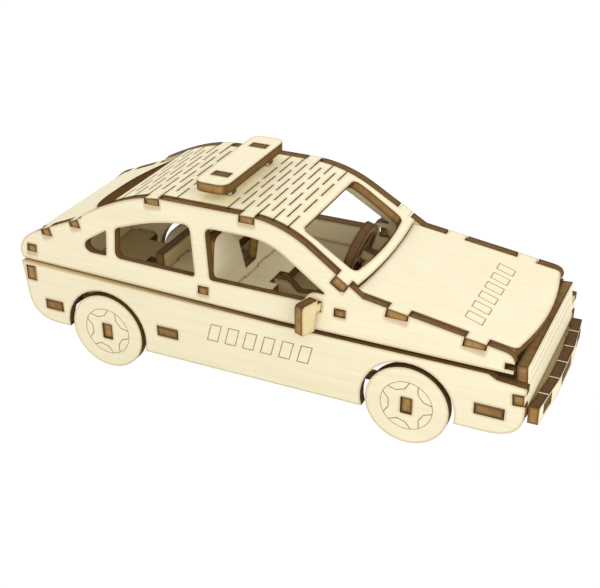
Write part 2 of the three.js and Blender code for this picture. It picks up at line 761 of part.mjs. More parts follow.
// A closed row has wood at both edges; an open one has a slit more, and its outer slits run out there
function slitRow(frame, open) {
  const count = open ? slitsClosed + 1 : slitsClosed;
  const slits = [];
  for (let i = 0; i < count; i += 1) {
    const [y0, y1] = around((i - (count - 1) / 2) * slitSpacing, slitLength);
    slits.push(new Tab([-slitWidth / 2, y0, -2 * ply], [slitWidth / 2, y1, ply], frame).geometry());
  }
  return slits;
}

function slitFields() {
  const frontStart = roofDistance(roofFlatFront) - slitLead;
  const rearStart = roofDistance(roofFlatRear) + slitLag;
  const rows = [];
  for (let i = 0; i < slitRowsFront; i += 1) {
    rows.push(...slitRow(roofPoint(frontStart + i * slitPitch), i % 2 === 0));
  }
  for (let i = 0; i < slitRowsRear; i += 1) {
    rows.push(...slitRow(roofPoint(rearStart - i * slitPitch), i % 2 === 0));
  }
  return rows;
}

function addRoof() {
  const profile = new THREE.Shape([...roofLine, ...underside(roofLine).reverse()]);
  const width = 2 * halfWidth;
  const bent = extrude(profile, width).rotateX(Math.PI / 2).translate(0, halfWidth, 0);
  const edge = roofLine.map(({ x, y }) => new THREE.Vector2(x, roofHalf(y)));
  edge.unshift(new THREE.Vector2(roofEdgeX - ply, edge[0].y));
  edge.push(new THREE.Vector2(roofFrontX + ply, edge[edge.length - 1].y));
  const plan = new THREE.Shape([...edge, ...edge.map(({ x, y }) => new THREE.Vector2(x, -y)).reverse()]);
  const column = extrude(plan, roofZ + ply);
  const trimmed = toGeometry(toSolid(bent).intersect(toSolid(column)));
  const frontHalf = roofHalf(scuttleZ + scuttleGap * Math.sin(windscreenAngle));
  const beyond = new THREE.Shape();
  beyond.moveTo(-scuttleGap, -halfWidth);
  beyond.lineTo(-scuttleGap, -frontHalf);
  beyond.quadraticCurveTo(2 * roofBow - scuttleGap, 0, -scuttleGap, frontHalf);
  beyond.lineTo(-scuttleGap, halfWidth);
  beyond.lineTo(ply, halfWidth);
  beyond.lineTo(ply, -halfWidth);
  beyond.closePath();
  const pane = rounded([
    [screenHead, -screenHalf, screenRound],
    [screenFoot, -screenHalf, screenRound],
    [screenFoot + 2 * roofBow, 0, screenHalf - screenRound],
    [screenFoot, screenHalf, screenRound],
    [screenHead, screenHalf, screenRound],
  ]);
  const through = (shape) => extrude(shape, 4 * ply).translate(0, 0, -2 * ply).applyMatrix4(screenFrame);
  const cuts = [through(beyond), through(pane), ...slitFields()];
  const tabs = sides.flatMap((side) => [...roofTabs(side), pillarTab(side)]);
  const slots = sides.map((side) => legTabs(side).foot);
  addPiece('roof', trimmed, new THREE.Matrix4(), { tabs, slots, cuts });
}

// Hood and rear deck

function addHood() {
  const rearX = alongHood(scuttleX - hoodSetback);
  const frontX = alongHood(noseX - hoodNoseSet);
  const cornerX = frontX - hoodCorner;
  const edgeHalf = (u) => upperInner(hoodZ(scuttleX + u * Math.cos(hoodSlope))) - fit;
  const shape = new THREE.Shape();
  shape.moveTo(rearX, -edgeHalf(rearX));
  shape.lineTo(cornerX, -edgeHalf(cornerX));
  shape.quadraticCurveTo(frontX, -edgeHalf(cornerX), frontX, -edgeHalf(cornerX) + hoodCorner);
  shape.quadraticCurveTo(frontX + 2 * hoodFrontBow, 0, frontX, edgeHalf(cornerX) - hoodCorner);
  shape.quadraticCurveTo(frontX, edgeHalf(cornerX), cornerX, edgeHalf(cornerX));
  shape.lineTo(rearX, edgeHalf(rearX));
  shape.quadraticCurveTo(rearX + 2 * roofBow, 0, rearX, -edgeHalf(rearX));
  const body = extrude(shape).translate(0, 0, -ply);
  addPiece('hood', body, hoodFrame, { tabs: sides.flatMap(hoodTabs) });
}

function addRearDeck() {
  const rearU = alongDeck(deckRearX);
  const rearHalf = upperInner(deckZ(deckRearX)) - fit;
  const hornX = deckFrontX + deckHornReach;
  const hornU = alongDeck(hornX);
  const hornHalf = upperInner(deckZ(hornX)) - fit;
  const shape = new THREE.Shape();
  shape.moveTo(rearU, -rearHalf);
  for (let i = -deckFrontSteps; i <= deckFrontSteps; i += 1) {
    const share = i / deckFrontSteps;
    const turn = Math.abs(share) ** deckFrontTurn;
    shape.lineTo((deckHollow + hornU) * turn - deckHollow, share * hornHalf);
  }
  shape.lineTo(rearU, rearHalf);
  shape.closePath();
  const body = extrude(shape).translate(0, 0, -ply);
  addPiece('rear_deck', body, deckFrame, { tabs: sides.flatMap(deckTabs) });
}

// Floor with its wheel wells

function addFloor() {
  const wellHalfLength = archRadius + wellGap;
  const rim = lowerInner - fit;
  const corners = [
    [tailPanelX + ply + fit, rim],
    [rearAxleX - wellHalfLength, rim],
    [rearAxleX - wellHalfLength, rearWellHalf],
    [rearAxleX + wellHalfLength, rearWellHalf],
    [rearAxleX + wellHalfLength, rim],
    [frontAxleX - wellHalfLength, rim],
    [frontAxleX - wellHalfLength, frontWellHalf],
    [frontAxleX + wellHalfLength, frontWellHalf],
    [frontAxleX + wellHalfLength, rim],
    [noseX - fit, rim],
    [bumperBack(kerfSpacing) - fit, kerfSpacing],
  ];
  const outline = [...corners, ...corners.map(([x, y]) => [x, -y]).reverse()].reverse();
  const tabs = [...sides.flatMap(floorSideTabs), ...bumperTabs, ...tailFloorTabs];
  const slots = [
    ...[seatBackX, rearSeatX, frontSeat.riserX, rearSeat.riserX, dashX].flatMap(footTabs),
    ...Object.values(axleXs).flatMap((x) => sides.flatMap((side) => bearerTabs(x, side))),
  ];
  addPiece('floor_plate', extrude(rounded(outline)), level(floorZ), { tabs, slots }, innerFace);
}

// Upright sheets across the car

// Corners of the half outline between the sides, from the foot to the top
function betweenSides(foot, top, x, topRound) {
  const seam = seamAt(x);
  return [
    [lowerInner - fit, foot],
    [lowerInner - fit, seam - ply],
    [upperInner(seam) - fit, seam - ply / 2],
    [upperInner(top) - fit, top, topRound],
  ];
}

function addTailPanel() {
  const tailFoot = floorZ - tailPanelSkirt;
  const outline = symmetric(betweenSides(tailFoot, tailSeamZ + tailPanelRise, tailPanelX, tailPanelRound));
  const tabs = sides.flatMap((side) => [tailLowTabs(side), tailHighTabs(side)]);
  addPiece('tail_panel', extrude(outline), across(tailPanelX), { tabs, slots: tailFloorTabs });
}

function addGrille() {
  const rim = lowerInner - fit;
  const outline = rectangle(-rim, rim, floorTop + fit - grilleTabZ, grilleTop - grilleTabZ);
  const frame = grilleFrame.clone().multiply(across(-ply / 2));
  addPiece('grille_panel', extrude(outline), frame, { tabs: sides.map((side) => grilleTabs(side)) });
}

function addBumper() {
  const ys = [-bumperHalf, -kerfSpacing, kerfSpacing, bumperHalf];
  const back = ys.map((y) => [bumperBack(y), y]);
  const front = ys.map((y) => [bumperBack(y) + ply, y]).reverse();
  const foot = bumperTop - bumperHeight;
  const kerfs = [];
  for (let i = -kerfPairs; i <= kerfPairs; i += 1) {
    const [y0, y1] = around(i * kerfSpacing, kerfWidth);
    const depth = bumperBack(i * kerfSpacing) + ply - kerfSkin;
    kerfs.push(new Tab([bumperX - fit, y0, foot - fit], [depth, y1, bumperTop + fit]).geometry());
  }
  const strip = extrude(rounded([...back, ...front]), bumperHeight);
  addPiece('front_bumper', strip, level(foot), { slots: bumperTabs, cuts: kerfs });
}

function addSeat(name, seat, outline, sideTabs) {
  const { backX, cushionTop, riserX, cushionTabs } = seat;
  const backJoints = { tabs: [...footTabs(backX), ...sideTabs], slots: cushionTabs };
  addPiece(`${name}_back`, extrude(outline), across(backX), backJoints, innerFace);

  const cushionRear = backX + ply + fit;
  const cushionFront = backX + ply + cushionLength;
  const width = name === 'rear_seat' ? rearSeatHalf : cushionHalf;
  const cushion = rounded([
    [cushionRear, -width],
    [cushionFront, -width, cushionRound],
    [cushionFront, -cushionRecessHalf],
    [cushionFront - cushionRecess, -cushionRecessHalf],
    [cushionFront - cushionRecess, cushionRecessHalf],
    [cushionFront, cushionRecessHalf],
    [cushionFront, width, cushionRound],
    [cushionRear, width],
  ]);
  const cushionZ = cushionTop - ply;
  addPiece(`${name}_cushion`, extrude(cushion), level(cushionZ), { tabs: cushionTabs }, innerFace);

  const riserHalf = width - riserInset;
  const riser = rectangle(-riserHalf, riserHalf, floorTop + fit, cushionZ - fit);
  addPiece(`${name}_riser`, extrude(riser), across(riserX), { tabs: footTabs(riserX) }, innerFace);
}

function addFrontSeat() {
  const top = seamZ + seatBackRise;
  const outline = symmetric([
    ...betweenSides(floorTop + fit, top, seatBackX, seatBackRound),
    [seatTopInner, top, seatTopRound],
    [seatNeck, top - seatNeckDrop, seatNeckRound],
    [seatNotchHalf, seamZ + seatNotchRise],
  ]);
  addSeat('front_seat', frontSeat, outline, sides.map(seatBackTabs));
}

function addRearSeat() {
  const outline = symmetric([
    [rearSeatHalf, floorTop + fit],
    [rearSeatHalf, seamZ + rearSeatRise, rearSeatRound],
  ]);
  addSeat('rear_seat', rearSeat, outline, []);
}

// Dashboard, steering column and wheel

const steerZ = seamZ + steerRise;
const steerFrame = sloping(steerX, steerZ, steerAngle).setPosition(steerX, steerY, steerZ);
const columnLength = (dashX + ply - steerX) / Math.cos(steerAngle) + columnPast;
const column = new Tab([-ply / 2, -ply / 2, -ply / 2], [columnLength, ply / 2, ply / 2], steerFrame);

function addDashboard() {
  const outline = symmetric(betweenSides(floorTop + fit, seamZ + dashRise, dashX, dashRound));
  const tabs = [...footTabs(dashX), ...sides.map(dashTabs)];
  addPiece('dashboard', extrude(outline), across(dashX), { tabs, slots: [column] }, innerFace);
}

function addSteering() {
  const frame = steerFrame.clone();
  addPiece('steering_column', column.geometry().applyMatrix4(frame.clone().invert()), frame, {}, innerFace);

  const ring = new THREE.Shape().absarc(0, 0, steerRadius, 0, 2 * Math.PI);
  ring.holes.push(new THREE.Path().absarc(0, 0, steerRadius - steerRim, 0, 2 * Math.PI));
  const hub = new THREE.Shape().absarc(0, 0, steerHub, 0, 2 * Math.PI);
  const spin = { depth: ply, bevelEnabled: false, curveSegments: steerFacets };
  let wheel = toSolid(new THREE.ExtrudeGeometry(ring, spin));
  wheel = wheel.add(toSolid(new THREE.ExtrudeGeometry(hub, spin)));
  for (let i = 0; i < steerSpokes; i += 1) {
    const spoke = rectangle(0, steerRadius - steerRim / 2, -steerSpoke / 2, steerSpoke / 2);
    const turn = -Math.PI / 2 + (i * 2 * Math.PI) / steerSpokes;
    wheel = wheel.add(toSolid(extrude(spoke).rotateZ(turn)));
  }
  const face = new THREE.Matrix4().makeRotationY(Math.PI / 2).setPosition(-ply / 2, 0, 0);
  const place = frame.clone().multiply(face);
  addPiece('steering_wheel', toGeometry(wheel), place, { slots: [column] }, innerFace);
}

// Wing mirrors and light bar

function addMirror(side, name) {
  const [back] = mirrorThickness(side);
  const outline = rounded([
    [mirrorRelief, 0],
    [mirrorReach, 0, mirrorRound / 2],
    [mirrorReach, mirrorHeight, mirrorRound],
    [mirrorStandoff, mirrorHeight],
  ]);
  const body = extrude(outline).translate(0, 0, back);
  addPiece(`wing_mirror_${name}`, body, mirrorFrame(side), { tabs: [mirrorTab(side)] });
}

function addLightBar() {
  const outline = rectangle(-barWidth / 2, barWidth / 2, -barHalfLength, barHalfLength, barRound);
  const frame = new THREE.Matrix4().makeTranslation(barX, 0, roofZ + barGap);
  addPiece('light_bar', extrude(outline), frame, { slots: sides.map((side) => legTabs(side).top) });
}

function addLeg(side, name) {
  const { top, foot } = legTabs(side);
  const body = new Tab(
    [barX - legLength / 2, side * legY - ply / 2, roofZ + fit],
    [barX + legLength / 2, side * legY + ply / 2, roofZ + barGap - fit],
  );
  addPiece(`light_bar_leg_${name}`, body.geometry(), new THREE.Matrix4(), { tabs: [top, foot] });
}

// Running gear

// The axle lies in a round-bottomed notch that the floor closes from above
function addBearer(x, side, name) {
  const reach = bearerEye + bearerWall;
  const top = floorZ - fit;
  const foot = axleZ - bearerEye - bearerFoot;
  const shape = new THREE.Shape();
  shape.moveTo(-reach, top);
  shape.lineTo(-reach, foot + bearerRound);
  shape.quadraticCurveTo(-reach, foot, bearerRound - reach, foot);
  shape.lineTo(reach - bearerRound, foot);
  shape.quadraticCurveTo(reach, foot, reach, foot + bearerRound);
  shape.lineTo(reach, top);
  shape.lineTo(bearerEye, top);
  shape.absarc(0, axleZ, bearerEye, 0, -Math.PI, true);
  shape.lineTo(-bearerEye, top);
  shape.closePath();
  const y = side * bearerY + ply / 2;
  const frame = upright(y, 0).setPosition(x, y, 0);
  addPiece(`axle_bearer_${name}`, extrude(shape), frame, { tabs: bearerTabs(x, side) }, innerFace);
}

// An axle strip with a wheel on each end, in a group that turns about its y axis
function addAxle(end, x) {
  const group = new THREE.Group();
  group.name = `${end}_axle_group`;
  group.position.set(x, 0, axleZ);
  car.add(group);

  const reach = halfWidth - axleRecess;
  const strip = new THREE.Mesh(new THREE.BoxGeometry(ply, 2 * reach, axleDepth), timber(innerFace));
  strip.name = `${end}_axle`;
  group.add(strip);

  bothSides((side) => {
    const disc = new THREE.Shape().absarc(0, 0, wheelRadius, 0, 2 * Math.PI);
    const [x0, x1] = half(ply + 2 * fit);
    const [z0, z1] = half(axleDepth + 2 * fit);
    disc.holes.push(rectangle(x0, x1, z0, z1, hubRound));
    const tread = { depth: ply, bevelEnabled: false, curveSegments: wheelFacets };
    const wheel = new THREE.Mesh(new THREE.ExtrudeGeometry(disc, tread), timber(turnedFace));
    wheel.name = `${end}_wheel_${side < 0 ? 'right' : 'left'}`;
    wheel.rotation.x = Math.PI / 2;
    wheel.position.y = side > 0 ? halfWidth : -lowerInner;
    group.add(wheel);
  });
}

bothSides((side) => {
  const name = side < 0 ? 'right' : 'left';
  addLowerSide(side, name);
  addUpperSide(side, name);
  addMirror(side, name);
  addLeg(side, name);
  Object.entries(axleXs).forEach(([end, x]) => addBearer(x, side, `${end}_${name}`));
});
addFloor();
addTailPanel();
addGrille();
addBumper();
addHood();
addRearDeck();
addRoof();
addLightBar();
addFrontSeat();
addRearSeat();
addDashboard();
addSteering();
Object.entries(axleXs).forEach(([end, x]) => addAxle(end, x));

export default car;
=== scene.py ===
"""Looks of the wooden puzzle car: plywood finishes, drawn lines, small pieces, light and camera."""

import logging
import math
from dataclasses import dataclass, replace
from enum import Enum

import bpy
import numpy as np
from mathutils import Matrix, Vector


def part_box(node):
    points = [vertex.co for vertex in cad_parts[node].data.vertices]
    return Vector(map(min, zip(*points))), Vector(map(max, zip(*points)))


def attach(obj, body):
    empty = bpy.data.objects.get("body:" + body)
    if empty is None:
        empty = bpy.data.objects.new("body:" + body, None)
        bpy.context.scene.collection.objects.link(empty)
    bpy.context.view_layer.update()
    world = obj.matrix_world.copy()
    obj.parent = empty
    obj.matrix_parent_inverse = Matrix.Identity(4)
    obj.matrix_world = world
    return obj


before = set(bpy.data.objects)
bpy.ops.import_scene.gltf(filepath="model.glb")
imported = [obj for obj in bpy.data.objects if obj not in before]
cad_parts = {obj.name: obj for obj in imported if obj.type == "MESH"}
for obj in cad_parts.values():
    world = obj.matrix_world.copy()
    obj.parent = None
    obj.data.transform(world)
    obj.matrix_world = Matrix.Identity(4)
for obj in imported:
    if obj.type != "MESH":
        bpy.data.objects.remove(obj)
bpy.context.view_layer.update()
log = logging.getLogger("puzzle_car")

Colour = tuple[float, float, float, float]
Triple = tuple[float, float, float]

MM = 0.001
PLY = 3.0 * MM
FULL_TURN = 360.0
ALONG_CAR: Triple = (1.0, 0.0, 0.0)
ACROSS_CAR: Triple = (0.0, 1.0, 0.0)
UPWARD: Triple = (0.0, 0.0, 1.0)
WHITE: Colour = (1.0, 1.0, 1.0, 1.0)
WOOD_SHINE = 0.2
STREAKS_WITH_GRAIN = 45.0
STREAKS_OVER_GRAIN = 1000.0
LAYERS_THROUGH_SHEET = 60.0
LAYERS_ALONG_SHEET = 2600.0


def srgb(red: int, green: int, blue: int) -> Colour:
    """Linear colour of a colour written as it looks on screen.

    The formula is the usual screen curve: straight for the darkest tones and a power above them.

    Args:
        red: Red from 0 to 255.
        green: Green from 0 to 255.
        blue: Blue from 0 to 255.

    Returns:
        The linear colour with full alpha.
    """
    part = np.array([red, green, blue]) / 255.0
    linear = np.where(part <= 0.04045, part / 12.92, ((part + 0.055) / 1.055) ** 2.4)
    return (float(linear[0]), float(linear[1]), float(linear[2]), 1.0)


@dataclass(frozen=True)
class Noise:
    """How fine a noise is, how many finer layers it has, and how strong those are."""

    scale: float
    detail: float
    roughness: float = 0.55


@dataclass(frozen=True)
class Band:
    """Bounds between which a mark grows from nothing to its full share."""

    low: float
    high: float
    share: float = 1.0


class Value:
    """An output socket that stands in Python expressions; each operator adds a Math node."""

    def __init__(self, graph: "Graph", socket: bpy.types.NodeSocket) -> None:
        """Keeps the socket and the graph that it belongs to."""
        self.graph = graph
        self.socket = socket

    def __add__(self, other: "Value | float") -> "Value":
        """Sum of the two."""
        return self.graph.math("ADD", self, other)

    __radd__ = __add__

    def __sub__(self, other: "Value | float") -> "Value":
        """This less the other."""
        return self.graph.math("SUBTRACT", self, other)

    def __rsub__(self, other: float) -> "Value":
        """The other less this."""
        return self.graph.math("SUBTRACT", other, self)

    def __mul__(self, other: "Value | float") -> "Value":
        """Product of the two."""
        return self.graph.math("MULTIPLY", self, other)

    __rmul__ = __mul__

    def __abs__(self) -> "Value":
        """Size without the sign."""
        return self.graph.math("ABSOLUTE", self, 0.0)

    def __gt__(self, other: "Value | float") -> "Value":
        """One where this is the greater, otherwise zero."""
        return self.graph.math("GREATER_THAN", self, other)

    def __lt__(self, other: "Value | float") -> "Value":
        """One where the other is the greater, otherwise zero: the reflected form."""
        return self.graph.math("LESS_THAN", self, other)


class Graph:
    """A node tree and the one way in which nodes are added to it."""

    def __init__(self, tree: bpy.types.NodeTree) -> None:
        """Starts from an empty tree."""
        tree.nodes.clear()
        self.tree = tree

    def node(
        self,
        kind: str,
        settings: dict[str, object] | None = None,
        sockets: dict[str | int, object] | None = None,
    ) -> bpy.types.Node:
        """Adds one node.

        Args:
            kind: The node's type.
            settings: The node's own settings, which are set first.
            sockets: Values or links of its inputs, by name or number.

        Returns:
            The new node.
        """
        node = self.tree.nodes.new(kind)
        for name, setting in (settings or {}).items():
            setattr(node, name, setting)
        for key, value in (sockets or {}).items():
            if isinstance(value, Value):
                self.tree.links.new(value.socket, node.inputs[key])
            else:
                node.inputs[key].default_value = value
        return node

    def out(self, node: bpy.types.Node, key: str | int = 0) -> Value:
        """An output of a node, ready for expressions."""
        return Value(self, node.outputs[key])

    def math(self, operation: str, one: "Value | float", two: "Value | float") -> Value:
        """Adds a Math node for one operation on two values."""
        return self.out(self.node("ShaderNodeMath", {"operation": operation}, {0: one, 1: two}))

    def vectors(self, operation: str, one: Value, two: "Value | Triple") -> bpy.types.Node:
        """Adds a Vector Math node for one operation on two vectors."""
        return self.node("ShaderNodeVectorMath", {"operation": operation}, {0: one, 1: two})

    def dot(self, vector: Value, direction: Triple) -> Value:
        """How far a vector reaches along a fixed direction."""
        return self.out(self.vectors("DOT_PRODUCT", vector, direction), "Value")

    def apart(self, one: Value, two: "Value | Triple") -> Value:
        """How far two vectors lie apart."""
        return self.out(self.vectors("DISTANCE", one, two), "Value")

    def stretched(self, vector: Value, scale: Triple) -> Value:
        """A vector scaled by its own factor on each axis."""
        return self.out(self.vectors("MULTIPLY", vector, scale))

    def noise(self, vector: Value, noise: Noise) -> Value:
        """Soft noise about one half.

        Args:
            vector: Where the noise is read.
            noise: How fine it is.

        Returns:
            A value from zero to one.
        """
        sockets = {
            "Vector": vector,
            "Scale": noise.scale,
            "Detail": noise.detail,
            "Roughness": noise.roughness,
        }
        return self.out(self.node("ShaderNodeTexNoise", {"noise_dimensions": "3D"}, sockets), "Fac")

    def ramp(self, value: Value, band: Band) -> Value:
        """Zero below a band, the band's share above it, and a smooth rise between.

        Args:
            value: The value that rises.
            band: Its bounds and the share.

        Returns:
            A value from zero to the share.
        """
        sockets = {
            "Value": value,
            "From Min": band.low,
            "From Max": band.high,
            "To Max": band.share,
        }
        settings = {"interpolation_type": "SMOOTHSTEP"}
        return self.out(self.node("ShaderNodeMapRange", settings, sockets))

    def mix(self, factor: Value, one: "Value | Colour", two: "Value | Colour") -> Value:
        """Blend of two colours.

        Args:
            factor: Share of the second colour.
            one: First colour.
            two: Second colour.

        Returns:
            The blended colour.
        """
        node = self.node("ShaderNodeMix", {"data_type": "RGBA"}, {0: factor, 6: one, 7: two})
        return self.out(node, 2)

    def in_view(self) -> Value:
        """Finds the rays that show in the picture.

        Returns:
            One for rays from the camera, straight, mirrored or let through, otherwise zero.
        """
        path = self.node("ShaderNodeLightPath")
        seen = self.out(path, "Is Camera Ray") + self.out(path, "Is Glossy Ray")
        return seen + self.out(path, "Is Transmission Ray")

    def finish_as_wood(self, sockets: dict[str | int, object]) -> None:
        """Ends the tree in a shader with the low shine of bare wood.

        Args:
            sockets: Values or links of the shader's inputs.
        """
        shine = {"Specular IOR Level": WOOD_SHINE}
        shader = self.node("ShaderNodeBsdfPrincipled", None, sockets | shine)
        self.node("ShaderNodeOutputMaterial", None, {"Surface": self.out(shader)})


def new_material(name: str) -> tuple[bpy.types.Material, Graph]:
    """Makes a material of nodes.

    Args:
        name: Its name.

    Returns:
        The material and its graph, still empty.
    """
    material = bpy.data.materials.new(name)
    material.use_nodes = True
    return material, Graph(material.node_tree)


class Hand(Enum):
    """A side of the car, as the sign of its places across the car."""

    RIGHT = -1.0
    LEFT = 1.0

    def of(self, piece: str) -> str:
        """Name of a piece on this side."""
        return f"{piece}_{self.name.lower()}"


class Axle(Enum):
    """One of the two axles, as it stands in the names of pieces."""

    FRONT = "front"
    REAR = "rear"


class Sheet(Enum):
    """Which way a piece of sheet lies, as the direction through its thickness."""

    FLAT = UPWARD
    SIDE = ACROSS_CAR
    CROSS = ALONG_CAR

    def layers(self) -> Triple:
        """Streaks per metre on each axis for fine lines straight through the sheet."""
        x, y, z = (LAYERS_THROUGH_SHEET if part else LAYERS_ALONG_SHEET for part in self.value)
        return (x, y, z)


class Grain(Enum):
    """Which way the grain of a sheet runs, as streaks per metre on each axis."""

    ALONG = (STREAKS_WITH_GRAIN, STREAKS_OVER_GRAIN, STREAKS_OVER_GRAIN)
    ACROSS = (STREAKS_OVER_GRAIN, STREAKS_WITH_GRAIN, STREAKS_OVER_GRAIN)
    UPRIGHT = (STREAKS_OVER_GRAIN, STREAKS_OVER_GRAIN, STREAKS_WITH_GRAIN)

    def finer(self, times: float) -> Triple:
        """The same grain with streaks that many times as fine."""
        x, y, z = self.value
        return (times * x, times * y, times * z)


def sheet_normal(mesh: bpy.types.Mesh, sheet: Sheet, face_share: float) -> Triple:
    """The direction that a piece's faces really point, which leans a little on some pieces.

    The normals of the faces that point through the sheet are turned to one side and averaged
    by area.

    Args:
        mesh: The piece's mesh.
        sheet: How its sheet lies, roughly.
        face_share: How far through the sheet a normal has to reach to be counted.

    Returns:
        The averaged normal, of length one.
    """
    normals = np.empty(3 * len(mesh.polygons))
    areas = np.empty(len(mesh.polygons))
    mesh.polygons.foreach_get("normal", normals)
    mesh.polygons.foreach_get("area", areas)
    normals = normals.reshape(-1, 3)
    through = normals @ np.array(sheet.value)
    mean = (np.where(np.abs(through) > face_share, np.sign(through), 0.0) * areas) @ normals
    mean = mean / np.linalg.norm(mean)
    return (float(mean[0]), float(mean[1]), float(mean[2]))


@dataclass(frozen=True)
class Surface:
    """What a finish reads of a piece: place, normal, and how far a corner rounds the normal."""

    graph: Graph
    place: Value
    normal: Value
    corner: Value


@dataclass(frozen=True)
class Plywood:
    """Laser-cut plywood: pale faces with fine grain, and scorched cut edges with ply lines.

    An end edge is a cut edge that faces the side, and every other one is a long edge; the
    side-facing edges are painted lighter than the rest, as painted light. Where painted shade is
    given, the face darkens over that stretch along the car, and where fading is given, an upward
    edge goes over that stretch from the fresh colour to the scorched one.
    """

    face: Colour
    streak: Colour
    fleck: Colour
    end_edge: Colour
    long_edge: Colour
    glue_line: Colour
    fresh: Colour = srgb(236, 204, 142)
    # Painted shade on the face, over a stretch along the car, where it is given.
    painted_shade: Band | None = None
    fading: Band | None = None
    upward: Band = Band(0.7, 0.95, 0.75)

    face_share: float = 0.7
    corner_radius: float = 1.6 * MM
    corner_samples: int = 6
    face_scorch: Band = Band(0.1, 0.6, 0.6)
    edge_scorch: Band = Band(0.05, 0.5, 0.75)

    streak_noise: Noise = Noise(1.0, 4.0)
    streak_band: Band = Band(0.28, 0.76)
    broad_noise: Noise = Noise(38.0, 2.0)
    broad_share: float = 0.25
    fleck_noise: Noise = Noise(1.0, 2.0)
    fleck_fineness: float = 5.0
    fleck_band: Band = Band(0.63, 0.74)
    fleck_share: float = 0.16

    # Painted light: bounds within which a cut edge counts as facing the side and is painted
    # lighter.
    painted_side_light: Band = Band(0.7, 0.97)
    burn_noise: Noise = Noise(1.0, 2.0)
    burn_band: Band = Band(0.35, 0.8, 0.22)
    blotch_noise: Noise = Noise(480.0, 2.0)
    blotch_band: Band = Band(0.4, 0.75, 0.35)

    bump: float = 0.12
    bump_depth: float = 0.1 * MM
    streak_relief: float = 0.6
    fleck_relief: float = 0.5
    edge_roughness: float = 0.78
    face_polish: float = 0.2
    streak_dullness: float = 0.16

    def dress(self, name: str, sheet: Sheet, grain: Grain) -> None:
        """Gives one piece of the car this finish.

        Args:
            name: The piece.
            sheet: How its sheet lies.
            grain: How its grain runs.
        """
        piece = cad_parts[name]
        material = self.material(name, piece.data, sheet, grain)
        for slot in piece.material_slots:
            slot.material = material
        log.info("dressed %s", name)

    def cover(self, piece: bpy.types.Object, sheet: Sheet, grain: Grain) -> None:
        """Gives a newly made piece this finish."""
        piece.data.materials.append(self.material(piece.name, piece.data, sheet, grain))

    def material(
        self, name: str, mesh: bpy.types.Mesh, sheet: Sheet, grain: Grain
    ) -> bpy.types.Material:
        """Builds the finish for one piece.

        The face is where the piece's own normal points through the sheet, and all else is cut
        edge. Grain is noise drawn out along the grain; an edge has fine lines straight through
        the sheet. A corner is where a rounded copy of the normal turns away from the true one.

        Args:
            name: The piece.
            mesh: Its mesh.
            sheet: How its sheet lies.
            grain: How its grain runs.

        Returns:
            The material.
        """
        material, graph = new_material(f"plywood_{name}")
        coordinate = graph.node("ShaderNodeTexCoord")
        place = graph.out(coordinate, "Object")
        normal = graph.out(coordinate, "Normal")
        settings = {"samples": self.corner_samples}
        rounded = graph.out(graph.node("ShaderNodeBevel", settings, {"Radius": self.corner_radius}))
        true_normal = graph.out(graph.node("ShaderNodeNewGeometry"), "True Normal")
        surface = Surface(graph, place, normal, graph.apart(rounded, true_normal))

        through = sheet_normal(mesh, sheet, self.face_share)
        on_face = abs(graph.dot(normal, through)) > self.face_share
        streak = graph.noise(graph.stretched(place, grain.value), self.streak_noise)
        short = graph.stretched(place, grain.finer(self.fleck_fineness))
        fleck = graph.ramp(graph.noise(short, self.fleck_noise), self.fleck_band)
        burn = graph.noise(graph.stretched(place, sheet.layers()), self.burn_noise)

        face = self.face_colour(surface, streak, fleck)
        edge = self.edge_colour(surface, burn)
        face_relief = streak * self.streak_relief - fleck * self.fleck_relief
        relief = on_face * face_relief + (1.0 - on_face) * burn
        sockets = {"Strength": self.bump, "Distance": self.bump_depth, "Height": relief}
        bump = graph.node("ShaderNodeBump", None, sockets)
        polish = on_face * (self.face_polish - streak * self.streak_dullness)
        graph.finish_as_wood(
            {
                "Base Color": graph.mix(on_face, edge, face),
                "Roughness": self.edge_roughness - polish,
                "Normal": graph.out(bump),
            }
        )
        return material

    def face_colour(self, surface: Surface, streak: Value, fleck: Value) -> Value:
        """Colour of the face: streaks, flecks, painted shade where it has any, and scorch at
        corners.

        Args:
            surface: What is read of the piece.
            streak: Noise of the grain.
            fleck: One on a fleck and zero beside it.

        Returns:
            The colour.
        """
        graph = surface.graph
        broad = graph.noise(surface.place, self.broad_noise)
        tone = streak * (1.0 - self.broad_share) + broad * self.broad_share
        colour = graph.mix(graph.ramp(tone, self.streak_band), self.face, self.streak)
        colour = graph.mix(fleck * self.fleck_share, colour, self.fleck)
        # Painted shade: the face darkens towards the glue-line colour over the given stretch along
        # the car.
        if self.painted_shade is not None:
            painted_shade = graph.ramp(graph.dot(surface.place, ALONG_CAR), self.painted_shade)
            colour = graph.mix(painted_shade, colour, self.glue_line)
        return graph.mix(graph.ramp(surface.corner, self.face_scorch), colour, self.end_edge)

    def edge_colour(self, surface: Surface, burn: Value) -> Value:
        """Colour of the cut edge: painted light that makes side-facing edges lighter, burnt lines,
        blotches, scorch at corners, and a fresh top.

        Args:
            surface: What is read of the piece.
            burn: Noise of the lines through the sheet.

        Returns:
            The colour.
        """
        graph = surface.graph
        # Painted light: edges facing the side of the car take the lighter end colour, the rest the
        # darker long colour.
        painted_side_light = graph.ramp(abs(graph.dot(surface.normal, ACROSS_CAR)), self.painted_side_light)
        blotch = graph.ramp(graph.noise(surface.place, self.blotch_noise), self.blotch_band)
        colour = graph.mix(painted_side_light, self.long_edge, self.end_edge)
        colour = graph.mix(graph.ramp(burn, self.burn_band), colour, self.glue_line)
        colour = graph.mix(blotch, colour, self.glue_line)
        colour = graph.mix(graph.ramp(surface.corner, self.edge_scorch), colour, self.glue_line)
        if self.fading is not None:
            fresh = 1.0 - graph.ramp(graph.dot(surface.place, ALONG_CAR), self.fading)
            upward = graph.ramp(graph.dot(surface.normal, UPWARD), self.upward)
            colour = graph.mix(fresh * upward, colour, self.fresh)
        return colour


